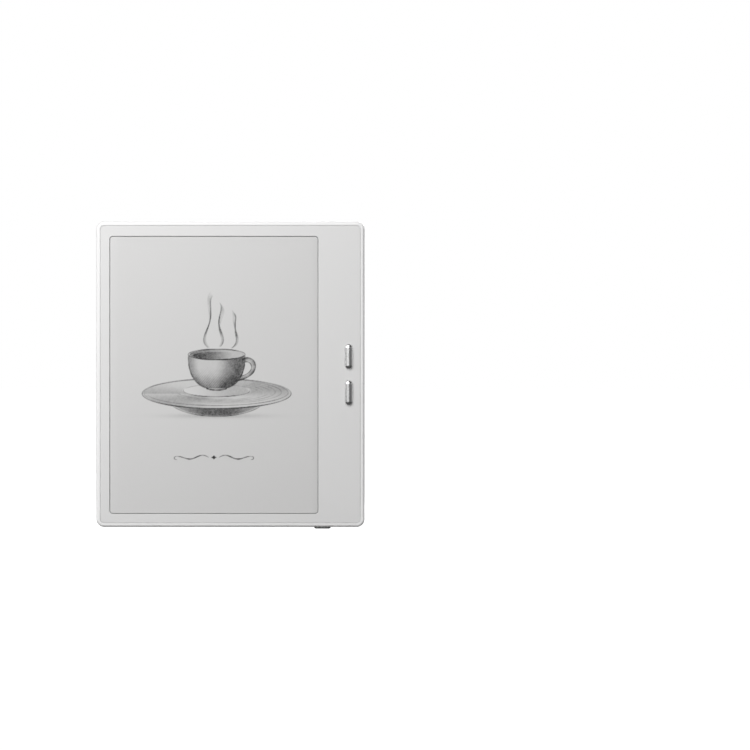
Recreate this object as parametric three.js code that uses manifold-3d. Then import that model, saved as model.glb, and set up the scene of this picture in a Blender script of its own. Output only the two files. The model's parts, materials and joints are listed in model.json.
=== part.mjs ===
// A seven-inch e-paper reader with two page keys beside its screen.
// Units are millimetres. +X is to the right and +Z is up for someone reading the screen, and
// the screen faces -Y. The origin is under the middle of the reader, level with its lowest
// point, which is the crown of the power key.

import * as THREE from 'three';
import { mergeVertices } from 'three/addons/utils/BufferGeometryUtils.js';
import Module from 'manifold-3d';

const wasm = await Module();
wasm.setup();

// ---------------------------------------------------------------- driving dimensions

const BODY = { width: 137, height: 156, depth: 6.4, corner: 4 };
const PAGE_KEY_PROUD = 1.3;
const POWER_KEY_PROUD = 0.9;

const FRONT = (PAGE_KEY_PROUD - BODY.depth) / 2;
const BACK = FRONT + BODY.depth;
const LEFT = -BODY.width / 2;
const RIGHT = BODY.width / 2;
const BOTTOM = POWER_KEY_PROUD;
const TOP = BOTTOM + BODY.height;

// The outer skin of the body: a round front edge, a round back edge, and a back face that
// falls away by the crown's depth over the crown's width before it reaches the back edge.
const EDGE = { front: 1.2, back: 1.4, steps: 4 };
const CROWN = { depth: 0.6, width: 9, steps: 3 };

const RIM = 2;                    // the shell's rim around the bezel
const WALL = 2.6;                 // the shell's side walls behind the bezel
const GAP = 0.1;                  // between the bezel or a key and its seat
const CAVITY_BACK = BACK - 1.3;
const BEZEL = { front: FRONT + 0.1, back: FRONT + 1.1, seat: 0.03 };

// The screen window, in the bezel. The right border is wide, because it holds the page keys.
const WINDOW = { left: -61.7, right: 44.9, bottom: BOTTOM + 6.7, top: TOP - 7.5, radius: 1.7 };

// Layers of the display, each from its front to its back.
const LAYER = {
  cover: [FRONT + 0.35, FRONT + 0.6],
  touch: [FRONT + 0.65, FRONT + 1.3],
  gasket: [FRONT + 1.13, FRONT + 1.29],
  guide: [FRONT + 1.35, FRONT + 1.75],
  lamps: [FRONT + 1.33, FRONT + 1.6],
  lampFlex: [FRONT + 1.6, FRONT + 1.75],
  paper: [FRONT + 1.8, FRONT + 2.35],
  plate: [FRONT + 2.4, FRONT + 2.8],
};

// The back is covered by two grained panels with a groove between them.
const PANEL = { rim: 1.4, thickness: 0.4, pocket: 0.45, grooveCorner: 1.5 };
const GROOVE = { x: 42.9, width: 0.8, runOut: 2, notchDepth: 0.45 };

const PAGE_KEY = { x: 60.5, width: 3.9, length: 12.9, crown: 1.25, crownDepth: 1.2, flange: 0.7 };
const PAGE_KEY_Z = { page_up: 87.8, page_down: 69.3 };
const PAGE_TRAVEL = 0.35;
const FLANGE_THICKNESS = 0.5;      // of every key's flange, which stops it from falling out
const POWER_KEY = { x: 47, y: 0.45, width: 8.4, length: 2.4, crown: 0.8, flange: 0.45 };
const POWER_TRAVEL = 0.3;

// Ports along the right edge, on a line that runs a little in front of the middle.
const PORT_Y = 0.46;
const USB = { z: TOP - 9.4, width: 8.8, height: 3.2, wall: 0.3, depth: 7.3, inset: 0.2, slot: 0.2 };
const TONGUE = { width: 6.7, thickness: 0.7, tip: 0.7, base: 1.3 };
const DOT = { radius: 0.5, pitch: 2.04, count: 8, first: TOP - 17.3, open: 5, dimple: 0.25 };
const GRILLE = { radius: 0.6, pitch: 2, count: 8, first: BOTTOM + 9 };

const TRAY = {
  y: 1, bottom: 98.4, top: 113.7, thickness: 2.2, face: 1.6,
  bladeFront: 1.15, bladeBack: 1.95, bladeBottom: 98.9, bladeTop: 111.4, bladeEnd: 50.2,
  rail: 0.7, pinhole: 0.55, pinholeZ: 112.9, corner: 0.8, rootOverlap: 0.2, cardStop: 2,
};
const SOCKET = { left: 51.5, right: 64.8, front: 1, back: 2.35, wall: 0.4, roof: 0.3, gap: 0.2 };
const ROD = { left: 49.5, right: 66.7, front: 1.1, back: 1.8, height: 0.8 };
const LEVER = {
  x: 47.8, z: 107.5, width: 1.2, reach: 5.9, finger: 1, hub: 2, swell: 0.5, hole: 0.7, pin: 0.6,
};

const MAIN_BOARD = { left: 14, right: 65.6, bottom: 97, top: 153.5, radius: 0.8 };
const MAIN_BOARD_Y = [0.35, 0.95];
const KEY_BOARD = { left: 54, right: 65.4, bottom: 31, top: 95, radius: 0.8 };
const KEY_BOARD_Y = [1.2, 1.8];
const POWER_BOARD = { left: 39, right: 52.5, bottom: 4.5, top: 10, radius: 0.5 };
const POWER_BOARD_Y = [1.9, 2.35];
const CHIP_FRONT = 1;             // back face of the main board, plus a solder gap
const SHIELD = { left: 24, right: 46, bottom: 121, top: 147, back: 2.35, sheet: 0.25 };

const BATTERY = { left: -61, right: 11, bottom: 32, top: 118, radius: 2 };
const BATTERY_Y = [0.3, 2.45];

const SPEAKER = { left: 53, right: 65.4, bottom: 7.5, top: 29, front: -1.3, back: 2.4 };

// Screws that hold the support plate to the shell, and screws that hold the main board.
const SCREW = {
  shank: 0.65, head: 1.15, headHeight: 0.5, length: 2, point: 0.3, recess: 0.25, slot: 0.45, clearance: 0.15,
};
const BOSS = { radius: 1.3, hole: 0.75, depth: 1.95, clearance: 0.4 };
const PLATE_SCREWS = [[-48, 152.9], [0, 152.9], [40, 152.9], [-52, 4.85], [5, 4.85], [50.5, 35], [50.5, 120]];
const BOARD_SCREWS = [[57, 140.2], [57, 116.5]];

const HIDDEN = 0.05;              // working gap between stacked inner pieces

// ---------------------------------------------------------------- materials

function finish(color, roughness, metalness = 0) {
  return new THREE.MeshStandardMaterial({ color, roughness, metalness });
}

const MATERIAL = {
  shell: finish(0xe9e9e7, 0.45),
  bezel: finish(0xe6e6e4, 0.5),
  grained: finish(0xdededb, 0.6),
  screen: finish(0xd8d8d2, 0.55),
  glass: finish(0xdfe3e2, 0.1),
  film: finish(0xe8f0ef, 0.2),
  foam: finish(0x2b2b2b, 0.95),
  gasket: finish(0xb4b4b2, 0.95),
  key: finish(0xc9c9c9, 0.18, 1),
  steel: finish(0xb8bcc0, 0.35, 1),
  plate: finish(0x9aa0a5, 0.5, 1),
  board: finish(0x1f4d3a, 0.55),
  chip: finish(0x1b1c1e, 0.6),
  flex: finish(0xb5762d, 0.5),
  pouch: finish(0x6f7478, 0.4),
  plastic: finish(0x2a2b2d, 0.6),
  rubber: finish(0x1c1c1c, 0.9),
  red: finish(0xa8231d, 0.5),
  black: finish(0x151515, 0.5),
};

// ---------------------------------------------------------------- outlines

// Points of a rectangle with round corners, counter-clockwise, as [across, up] pairs. Where
// the corners meet, as on a pill, the shared point is listed once.
function ring(rect, steps = 4) {
  const k = rect.radius;
  const corners = [
    [rect.right - k, rect.bottom + k],
    [rect.right - k, rect.top - k],
    [rect.left + k, rect.top - k],
    [rect.left + k, rect.bottom + k],
  ];
  const points = [];
  corners.forEach(([across, up], quarter) => {
    for (let i = 0; i <= steps; i += 1) {
      const angle = (quarter - 1 + i / steps) * (Math.PI / 2);
      const point = [across + k * Math.cos(angle), up + k * Math.sin(angle)];
      const last = points[points.length - 1] ?? [Infinity, Infinity];
      if (Math.hypot(point[0] - last[0], point[1] - last[1]) > 1e-6) points.push(point);
    }
  });
  const [first, last] = [points[0], points[points.length - 1]];
  if (Math.hypot(first[0] - last[0], first[1] - last[1]) < 1e-6) points.pop();
  return points;
}

function grow(rect, by) {
  return {
    left: rect.left - by,
    right: rect.right + by,
    bottom: rect.bottom - by,
    top: rect.top + by,
    radius: Math.max(rect.radius + by, 0.4),
  };
}

function centred(across, up, width, height, radius) {
  return {
    left: across - width / 2,
    right: across + width / 2,
    bottom: up - height / 2,
    top: up + height / 2,
    radius,
  };
}

function pill(across, up, width, height) {
  return centred(across, up, width, height, Math.min(width, height) / 2);
}

function circle(across, up, radius, sides = 12) {
  const points = [];
  for (let i = 0; i < sides; i += 1) {
    const angle = (i / sides) * 2 * Math.PI;
    points.push([across + radius * Math.cos(angle), up + radius * Math.sin(angle)]);
  }
  return points;
}

function shapeOf(points, holes = []) {
  const toPath = (list) => list.map(([across, up]) => new THREE.Vector2(across, up));
  const shape = new THREE.Shape(toPath(points));
  holes.forEach((hole) => shape.holes.push(new THREE.Path(toPath(hole))));
  return shape;
}

// ---------------------------------------------------------------- solids

// A prism along one axis. Across and up are X and Z on a Y prism, Y and Z on an X prism, and
// X and Y on a Z prism.
function prism(axis, points, low, high, holes = []) {
  const shape = shapeOf(points, holes);
  const geometry = new THREE.ExtrudeGeometry(shape, { depth: high - low, bevelEnabled: false });
  const turn = new THREE.Matrix4();
  if (axis === 'x') {
    const up = new THREE.Vector3(0, 0, 1);
    turn.makeBasis(new THREE.Vector3(0, 1, 0), up, new THREE.Vector3(1, 0, 0));
    turn.setPosition(low, 0, 0);
  } else if (axis === 'y') {
    turn.makeRotationX(Math.PI / 2);
    turn.setPosition(0, high, 0);
  } else {
    turn.setPosition(0, 0, low);
  }
  return geometry.applyMatrix4(turn);
}

function block(left, right, front, back, bottom, top) {
  const geometry = new THREE.BoxGeometry(right - left, back - front, top - bottom);
  return geometry.translate((left + right) / 2, (front + back) / 2, (bottom + top) / 2);
}

// A closed skin through rings of points that all have the same count, from front to back.
function loft(rings) {
  const count = rings[0].length;
  const positions = rings.flat(2);
  const index = [];
  for (let i = 0; i + 1 < rings.length; i += 1) {
    for (let j = 0; j < count; j += 1) {
      const here = i * count + j;
      const next = i * count + ((j + 1) % count);
      index.push(here, here + count, next + count);
      index.push(here, next + count, next);
    }
  }
  const lastRing = (rings.length - 1) * count;
  for (let j = 1; j + 1 < count; j += 1) {
    index.push(0, j, j + 1);
    index.push(lastRing, lastRing + j + 1, lastRing + j);
  }
  const geometry = new THREE.BufferGeometry();
  geometry.setAttribute('position', new THREE.Float32BufferAttribute(positions, 3));
  geometry.setIndex(index);
  return geometry;
}

function solid(geometry) {
  const bare = geometry.clone();
  bare.deleteAttribute('normal');
  bare.deleteAttribute('uv');
  const merged = mergeVertices(bare, 1e-5);
  const mesh = new wasm.Mesh({
    numProp: 3,
    vertProperties: new Float32Array(merged.attributes.position.array),
    triVerts: new Uint32Array(merged.index.array),
  });
  return new wasm.Manifold(mesh);
}

function geometryOf(body) {
  const mesh = body.getMesh();
  const geometry = new THREE.BufferGeometry();
  geometry.setAttribute('position', new THREE.Float32BufferAttribute(mesh.vertProperties, 3));
  geometry.setIndex([...mesh.triVerts]);
  geometry.computeVertexNormals();
  return geometry;
}

function cut(base, ...tools) {
  const result = tools.reduce((body, tool) => body.subtract(solid(tool)), solid(base));
  return geometryOf(result);
}

function join(base, ...pieces) {
  const result = pieces.reduce((body, piece) => body.add(solid(piece)), solid(base));
  return geometryOf(result);
}

function overlap(base, other) {
  return geometryOf(solid(base).intersect(solid(other)));
}

// A flat ribbon cable: a line of [y, z] points given a thickness, and a width along X.
function ribbon(points, thickness, left, right) {
  const sides = [1, -1].map((side) => points.map(([y, z], i) => {
    const before = points[Math.max(i - 1, 0)];
    const after = points[Math.min(i + 1, points.length - 1)];
    const run = [after[0] - before[0], after[1] - before[1]];
    const length = Math.hypot(...run);
    const offset = (side * thickness) / 2;
    return [y + (offset * run[1]) / length, z - (offset * run[0]) / length];
  }));
  return prism('x', [...sides[0], ...sides[1].reverse()], left, right);
}

function wire(points, radius, steps) {
  const path = new THREE.CatmullRomCurve3(points.map((point) => new THREE.Vector3(...point)));
  const section = shapeOf(circle(0, 0, radius, 8));
  return new THREE.ExtrudeGeometry(section, { extrudePath: path, steps, bevelEnabled: false });
}

const reader = new THREE.Group();

function add(name, geometry, material, place = [0, 0, 0]) {
  const mesh = new THREE.Mesh(geometry, material);
  mesh.name = name;
  mesh.position.set(...place);
  reader.add(mesh);
}

// ---------------------------------------------------------------- case

const BODY_OUTLINE = { left: LEFT, right: RIGHT, bottom: BOTTOM, top: TOP, radius: BODY.corner };

function bodySolid(shift = 0) {
  const sections = [];
  for (let i = 0; i <= EDGE.steps; i += 1) {
    const angle = (i / EDGE.steps) * (Math.PI / 2);
    const inset = EDGE.front * (1 - Math.sin(angle));
    sections.push({ y: FRONT + EDGE.front * (1 - Math.cos(angle)), inset });
  }
  const shoulder = BACK - CROWN.depth;
  for (let i = 0; i <= EDGE.steps; i += 1) {
    const angle = (i / EDGE.steps) * (Math.PI / 2);
    const inset = EDGE.back * (1 - Math.cos(angle));
    sections.push({ y: shoulder - EDGE.back * (1 - Math.sin(angle)), inset });
  }
  for (let i = 1; i <= CROWN.steps; i += 1) {
    const along = i / CROWN.steps;
    const inset = EDGE.back + along * (CROWN.width - EDGE.back);
    sections.push({ y: shoulder + CROWN.depth * (1 - (1 - along) ** 2), inset });
  }
  return loft(sections.map(({ y, inset }) => (
    ring(grow(BODY_OUTLINE, -inset), 5).map(([x, z]) => [x, y + shift, z])
  )));
}

// A back panel's outline has small corners beside the groove and larger ones at the rim.
function panelOutline(side, gap) {
  const outer = grow(BODY_OUTLINE, -PANEL.rim);
  const half = GROOVE.width / 2;
  const main = { ...outer, right: GROOVE.x - half };
  const grip = { ...outer, left: GROOVE.x + half };
  const rect = side === 'main' ? main : grip;
  return grow({ ...rect, radius: PANEL.grooveCorner + gap }, gap);
}

function panelPrism(side, gap) {
  return prism('y', ring(panelOutline(side, gap)), CAVITY_BACK - 1, BACK + 1);
}

function backPanel(side) {
  return cut(overlap(panelPrism(side, 0), bodySolid()), bodySolid(-PANEL.thickness));
}

function grooveBlock() {
  const half = GROOVE.width / 2 + GAP;
  const end = PANEL.rim + GROOVE.runOut;
  return block(GROOVE.x - half, GROOVE.x + half, CAVITY_BACK - 1, BACK + 1, BOTTOM + end, TOP - end);
}

function panelPocket() {
  const seats = join(panelPrism('main', GAP), panelPrism('grip', GAP), grooveBlock());
  return cut(seats, bodySolid(-PANEL.pocket));
}

function grooveNotch(z) {
  const half = GROOVE.width / 2;
  const depth = GROOVE.notchDepth;
  const shoulder = BACK - CROWN.depth;
  return block(GROOVE.x - half, GROOVE.x + half, shoulder - depth, BACK, z - depth, z + depth);
}

function boss(x, z, front) {
  const height = CAVITY_BACK + 0.2 - front;
  const geometry = new THREE.CylinderGeometry(BOSS.radius, BOSS.radius, height, 14);
  return geometry.translate(x, front + height / 2, z);
}

function bossHole(x, z, front) {
  const geometry = new THREE.CylinderGeometry(BOSS.hole, BOSS.hole, BOSS.depth * 2, 10);
  return geometry.translate(x, front, z);
}

function sideHole(y, z, radius, inner) {
  return prism('x', circle(y, z, radius, 10), inner, RIGHT + 1);
}

function shellPorts() {
  const through = RIGHT - WALL - 1;
  const slot = pill(PORT_Y, USB.z, USB.height + 2 * USB.slot, USB.width + 2 * USB.slot);
  const trayHeight = TRAY.top - TRAY.bottom;
  const tray = centred(TRAY.y, TRAY.bottom + trayHeight / 2, TRAY.thickness, trayHeight, TRAY.corner);
  const ports = [
    prism('x', ring(slot), through, RIGHT + 1),
    prism('x', ring(grow(tray, GAP)), through, RIGHT + 1),
  ];
  for (let i = 0; i < DOT.count; i += 1) {
    const inner = i === DOT.open ? through : RIGHT - DOT.dimple;
    ports.push(sideHole(PORT_Y, DOT.first - i * DOT.pitch, DOT.radius, inner));
  }
  for (let i = 0; i < GRILLE.count; i += 1) {
    ports.push(sideHole(PORT_Y, GRILLE.first + i * GRILLE.pitch, GRILLE.radius, through));
  }
  const power = pill(POWER_KEY.x, POWER_KEY.y, POWER_KEY.width, POWER_KEY.length);
  ports.push(prism('z', ring(grow(power, GAP)), BOTTOM - 1, BOTTOM + WALL + 1));
  return ports;
}

function backShell() {
  const seat = prism('y', ring(grow(BODY_OUTLINE, -RIM)), FRONT - 1, BEZEL.back + BEZEL.seat);
  const cavity = prism('y', ring(grow(BODY_OUTLINE, -WALL)), FRONT, CAVITY_BACK);
  const notches = [grooveNotch(BOTTOM), grooveNotch(TOP)];
  const hollow = cut(bodySolid(), seat, cavity, panelPocket(), ...notches, ...shellPorts());
  const plateBack = LAYER.plate[1] + HIDDEN;
  const boardBack = MAIN_BOARD_Y[1] + HIDDEN;
  const withBosses = join(
    hollow,
    ...PLATE_SCREWS.map(([x, z]) => boss(x, z, plateBack)),
    ...BOARD_SCREWS.map(([x, z]) => boss(x, z, boardBack)),
  );
  return cut(
    withBosses,
    ...PLATE_SCREWS.map(([x, z]) => bossHole(x, z, plateBack)),
    ...BOARD_SCREWS.map(([x, z]) => bossHole(x, z, plateBack)),
  );
}

// Snap tabs on the back of the bezel, as [x, z, width, height].
const TAB = { length: 6, thickness: 0.7, depth: 1.15, inset: WALL + 0.5, root: 0.2 };
const TABS = [
  ...[33, 78, 123].map((z) => [LEFT + TAB.inset, z, TAB.thickness, TAB.length]),
  ...[43, 119].map((z) => [RIGHT - TAB.inset, z, TAB.thickness, TAB.length]),
  ...[-27, 23].map((x) => [x, TOP - TAB.inset, TAB.length, TAB.thickness]),
  ...[-22, 34].map((x) => [x, BOTTOM + TAB.inset, TAB.length, TAB.thickness]),
];

function frontBezel() {
  const outline = ring(grow(BODY_OUTLINE, -RIM - GAP));
  const holes = [ring(WINDOW)];
  Object.values(PAGE_KEY_Z).forEach((z) => {
    holes.push(ring(grow(pill(PAGE_KEY.x, z, PAGE_KEY.width, PAGE_KEY.length), GAP)));
  });
  const frame = prism('y', outline, BEZEL.front, BEZEL.back, holes);
  const tabs = TABS.map(([x, z, width, height]) => {
    const front = BEZEL.back - TAB.root;
    const back = BEZEL.back + TAB.depth;
    return block(x - width / 2, x + width / 2, front, back, z - height / 2, z + height / 2);
  });
  return join(frame, ...tabs);
}

function makeCase() {
  add('back_shell', backShell(), MATERIAL.shell);
  add('front_bezel', frontBezel(), MATERIAL.bezel);
  add('back_panel', backPanel('main'), MATERIAL.grained);
  add('grip_panel', backPanel('grip'), MATERIAL.grained);
}

// ---------------------------------------------------------------- display

const LAMP = { count: 9, length: 3, bottom: 5.9, height: 0.85, pitch: 12, first: -56.5 };
const LAMP_STRIP = { bottom: 5.2, top: 6.8, margin: 1 };
const GUIDE = { left: -63.2, right: 46.4, bottom: 6.9, top: 151, radius: 0.6 };
const GASKET_WIDTH = 1;
const COVER_GAP = 0.3;
const PAPER = { left: -63.6, right: 46.8, bottom: 6.2, top: 151.3, radius: 0.6 };
const PLATE = { left: -64.5, right: 52.3, bottom: 3.9, top: 154, radius: 1 };
const PLATE_NOTCH = { flexMargin: 1, flexTop: 7, powerLeft: 40.5, powerTop: 8 };
const FLEX = { left: 16, right: 28, thickness: 0.15, y: 0.52, turn: 4.7, top: 98.9, rise: 1.42 };

function lampStrip() {
  const left = LAMP.first - LAMP_STRIP.margin;
  const right = left + LAMP.pitch * (LAMP.count - 1) + LAMP.length + 2 * LAMP_STRIP.margin;
  const strip = block(left, right, ...LAYER.lampFlex, LAMP_STRIP.bottom, LAMP_STRIP.top);
  const lamps = [];
  for (let i = 0; i < LAMP.count; i += 1) {
    const start = LAMP.first + i * LAMP.pitch;
    const back = LAYER.lamps[1] + HIDDEN;
    const top = LAMP.bottom + LAMP.height;
    lamps.push(block(start, start + LAMP.length, LAYER.lamps[0], back, LAMP.bottom, top));
  }
  return join(strip, ...lamps);
}

function supportPlate() {
  const holes = PLATE_SCREWS.map(([x, z]) => circle(x, z, SCREW.shank + SCREW.clearance, 10));
  const sheet = prism('y', ring(PLATE), ...LAYER.plate, holes);
  const { flexMargin, flexTop, powerLeft, powerTop } = PLATE_NOTCH;
  const flexNotch = block(FLEX.left - flexMargin, FLEX.right + flexMargin, FRONT, BACK, 0, flexTop);
  const powerNotch = block(powerLeft, PLATE.right + 1, FRONT, BACK, 0, powerTop);
  return cut(sheet, flexNotch, powerNotch);
}

// The display's ribbon leaves the lower edge of the paper panel, turns back under the support
// plate, runs up behind it and climbs to the connector on the back of the main board.
function displayFlex() {
  const start = (LAYER.paper[0] + LAYER.paper[1]) / 2;
  const radius = (FLEX.y - start) / 2;
  const points = [[start, PAPER.bottom - HIDDEN]];
  for (let i = 0; i <= 8; i += 1) {
    const angle = (i / 8) * Math.PI;
    points.push([start + radius - radius * Math.cos(angle), FLEX.turn - radius * Math.sin(angle)]);
  }
  points.push([FLEX.y, 90], [FLEX.y + 0.2, 92], [FLEX.rise - 0.2, 94.4], [FLEX.rise, 96.4]);
  points.push([FLEX.rise, FLEX.top]);
  return ribbon(points, FLEX.thickness, FLEX.left, FLEX.right);
}

function makeDisplay() {
  const inside = ring(grow(WINDOW, -COVER_GAP));
  add('display_cover', prism('y', inside, ...LAYER.cover), MATERIAL.screen);
  add('touch_panel', prism('y', inside, ...LAYER.touch), MATERIAL.glass);
  const gasketHole = [ring(grow(WINDOW, COVER_GAP))];
  const gasket = prism('y', ring(grow(WINDOW, COVER_GAP + GASKET_WIDTH)), ...LAYER.gasket, gasketHole);
  add('bezel_gasket', gasket, MATERIAL.gasket);
  add('light_guide', prism('y', ring(GUIDE), ...LAYER.guide), MATERIAL.film);
  add('lamp_strip', lampStrip(), MATERIAL.flex);
  add('e_paper_panel', prism('y', ring(PAPER), ...LAYER.paper), MATERIAL.glass);
  add('display_flex', displayFlex(), MATERIAL.flex);
  add('support_plate', supportPlate(), MATERIAL.plate);
}

// ---------------------------------------------------------------- keys

// A key cap with a pill outline, from its crown at 0 to its flange, along +Y.
function keyCap(width, length, crown, crownDepth, neck, flange) {
  const outline = pill(0, 0, width, length);
  const rings = [];
  for (let i = 0; i <= EDGE.steps; i += 1) {
    const angle = (i / EDGE.steps) * (Math.PI / 2);
    const inset = crown * (1 - Math.sin(angle));
    const y = crownDepth * (1 - Math.cos(angle));
    rings.push(ring(pill(0, 0, width - 2 * inset, length - 2 * inset)).map(([x, z]) => [x, y, z]));
  }
  rings.push(ring(outline).map(([x, z]) => [x, neck + 0.1, z]));
  const rim = prism('y', ring(grow(outline, flange)), neck, neck + FLANGE_THICKNESS);
  return join(loft(rings), rim);
}

const SWITCH = { size: 4.6, front: 0.15, hole: 1, plunger: 0.85, plungerBack: 0.5 };
const KEY_BOARD_FLEX = { left: 56, right: 62 };

function makePageKeys() {
  const neck = BEZEL.back + HIDDEN + BACK;
  const cap = keyCap(
    PAGE_KEY.width, PAGE_KEY.length, PAGE_KEY.crown, PAGE_KEY.crownDepth, neck, PAGE_KEY.flange,
  );
  const half = SWITCH.size / 2;
  const well = SWITCH.plungerBack + PAGE_TRAVEL + GAP;
  const body = cut(
    block(-half, half, SWITCH.front, KEY_BOARD_Y[0] - HIDDEN, -half, half),
    prism('y', circle(0, 0, SWITCH.hole), FRONT, well),
  );
  const plungerFront = BEZEL.back + HIDDEN + FLANGE_THICKNESS + HIDDEN;
  const plunger = prism('y', circle(0, 0, SWITCH.plunger), plungerFront, SWITCH.plungerBack);
  Object.entries(PAGE_KEY_Z).forEach(([name, z]) => {
    add(`${name}_key`, cap, MATERIAL.key, [PAGE_KEY.x, -BACK, z]);
    add(`${name}_plunger`, plunger, MATERIAL.plastic, [PAGE_KEY.x, 0, z]);
    add(`${name}_switch`, body, MATERIAL.steel, [PAGE_KEY.x, 0, z]);
  });
  add('key_board', prism('y', ring(KEY_BOARD), ...KEY_BOARD_Y), MATERIAL.board);
  const link = [[1.5, KEY_BOARD.top + HIDDEN], [1.3, 95.8], [0.85, 96.4], [0.65, MAIN_BOARD.bottom - HIDDEN]];
  const { left, right } = KEY_BOARD_FLEX;
  add('key_board_flex', ribbon(link, FLEX.thickness, left, right), MATERIAL.flex);
}

const POWER_SWITCH = {
  width: 4.8, front: -0.55, bottom: 4.95, top: 6.1, roof: 0.15, hole: 0.75, plunger: 0.6,
};
const POWER_FLEX = { left: 40, right: 43 };

function makePowerKey() {
  const neck = BOTTOM + WALL + HIDDEN;
  const flat = keyCap(
    POWER_KEY.width, POWER_KEY.length, POWER_KEY.crown, POWER_KEY.crown, neck, POWER_KEY.flange,
  );
  const cap = flat.applyMatrix4(new THREE.Matrix4().makeRotationX(Math.PI / 2));
  add('power_key', cap, MATERIAL.key, [POWER_KEY.x, POWER_KEY.y, 0]);
  const { width, front, bottom, top } = POWER_SWITCH;
  const well = prism('z', circle(POWER_KEY.x, POWER_KEY.y, POWER_SWITCH.hole), 0, top - POWER_SWITCH.roof);
  const half = width / 2;
  const back = POWER_BOARD_Y[0] - HIDDEN;
  const body = block(POWER_KEY.x - half, POWER_KEY.x + half, front, back, bottom, top);
  add('power_switch', cut(body, well), MATERIAL.steel);
  const reach = top - POWER_SWITCH.roof - POWER_TRAVEL - GAP;
  const stem = circle(POWER_KEY.x, POWER_KEY.y, POWER_SWITCH.plunger, 10);
  add('power_plunger', prism('z', stem, neck + FLANGE_THICKNESS + HIDDEN, reach), MATERIAL.plastic);
  add('power_board', prism('y', ring(POWER_BOARD), ...POWER_BOARD_Y), MATERIAL.board);
  const run = [
    [2.1, POWER_BOARD.top + HIDDEN], [2.1, 92], [1.9, 93.5], [0.9, 95.7],
    [0.65, MAIN_BOARD.bottom - HIDDEN],
  ];
  add('power_flex', ribbon(run, FLEX.thickness, POWER_FLEX.left, POWER_FLEX.right), MATERIAL.flex);
}

// ---------------------------------------------------------------- charging port

function makeUsbPort() {
  const left = RIGHT - USB.inset - USB.depth;
  const right = RIGHT - USB.inset;
  const outer = pill(PORT_Y, USB.z, USB.height, USB.width);
  const inner = grow(outer, -USB.wall);
  add('usb_shell', prism('x', ring(outer, 5), left, right, [ring(inner, 5)]), MATERIAL.steel);
  const base = prism('x', ring(grow(inner, -HIDDEN), 5), left + 0.1, left + TONGUE.base);
  const half = TONGUE.width / 2;
  const thick = TONGUE.thickness / 2;
  const tip = right - TONGUE.tip;
  const tongue = block(left + 0.2, tip, PORT_Y - thick, PORT_Y + thick, USB.z - half, USB.z + half);
  add('usb_tongue', join(base, tongue), MATERIAL.plastic);
}

// ---------------------------------------------------------------- card tray

function cardTray() {
  const height = TRAY.top - TRAY.bottom;
  const outline = centred(TRAY.y, TRAY.bottom + height / 2, TRAY.thickness, height, TRAY.corner);
  const face = prism('x', ring(outline), RIGHT - TRAY.face, RIGHT, [
    circle(TRAY.y, TRAY.pinholeZ, TRAY.pinhole, 12),
  ]);
  const bladeRight = RIGHT - TRAY.face + TRAY.rootOverlap;
  const blade = block(
    TRAY.bladeEnd, bladeRight, TRAY.bladeFront, TRAY.bladeBack, TRAY.bladeBottom, TRAY.bladeTop,
  );
  const card = block(
    TRAY.bladeEnd + TRAY.rail, bladeRight - TRAY.cardStop, TRAY.bladeFront - 1, TRAY.bladeBack + 1,
    TRAY.bladeBottom + TRAY.rail, TRAY.bladeTop - TRAY.rail,
  );
  return join(cut(blade, card), face);
}

function cardSocket() {
  const inner = { bottom: TRAY.bladeBottom - SOCKET.gap, top: TRAY.bladeTop + SOCKET.gap };
  const outer = block(
    SOCKET.left, SOCKET.right, SOCKET.front, SOCKET.back,
    inner.bottom - SOCKET.wall, inner.top + SOCKET.wall,
  );
  const roof = SOCKET.back - SOCKET.roof;
  return cut(outer, block(SOCKET.left - 1, SOCKET.right + 1, FRONT, roof, inner.bottom, inner.top));
}

function ejectLever() {
  const half = LEVER.width / 2;
  const top = LEVER.z + LEVER.reach;
  const arm = [
    [LEVER.x - half, LEVER.z - LEVER.reach],
    [LEVER.x + half, LEVER.z - LEVER.reach],
    [LEVER.x + half, LEVER.z - LEVER.hub],
    [LEVER.x + half + LEVER.swell, LEVER.z],
    [LEVER.x + half, LEVER.z + LEVER.hub],
    [LEVER.x + half, top - 1],
    [LEVER.x + half + LEVER.finger, top - 1],
    [LEVER.x + half + LEVER.finger, top],
    [LEVER.x - half, top],
    [LEVER.x - half, LEVER.z + LEVER.hub],
    [LEVER.x - half - LEVER.swell, LEVER.z],
    [LEVER.x - half, LEVER.z - LEVER.hub],
  ];
  return prism('y', arm, ROD.front, ROD.back, [circle(LEVER.x, LEVER.z, LEVER.hole, 12)]);
}

function makeCardTray() {
  add('card_tray', cardTray(), MATERIAL.shell);
  add('card_socket', cardSocket(), MATERIAL.steel);
  const half = ROD.height / 2;
  const rod = block(ROD.left, ROD.right, ROD.front, ROD.back, TRAY.pinholeZ - half, TRAY.pinholeZ + half);
  add('eject_rod', rod, MATERIAL.steel);
  add('eject_lever', ejectLever(), MATERIAL.steel);
  const pin = prism('y', circle(LEVER.x, LEVER.z, LEVER.pin, 12), CHIP_FRONT, ROD.back + 0.3);
  add('lever_pin', pin, MATERIAL.steel);
}

// ---------------------------------------------------------------- main board

const BOARD_NOTCH = { usb: 0.4, usbSide: 0.3, bootLeft: 63.5, bootSide: 2.1 };
const PROCESSOR = { left: 27, right: 39, back: 1.9, bottom: 128, top: 140 };
const MEMORY = { left: 49, right: 56.5, back: 1.9, bottom: 125, top: 136 };
const DISPLAY_CONNECTOR = { left: 15.5, right: 28.5, back: 1.95, top: 102.5 };
const MICROPHONE = { left: 60.2, right: 63.3, front: -0.8, half: 1.8, z: DOT.first - DOT.open * DOT.pitch };
const BOOT = { left: 63.6, front: 1.3, back: 1, half: 1.6, holeLeft: 64 };

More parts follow.
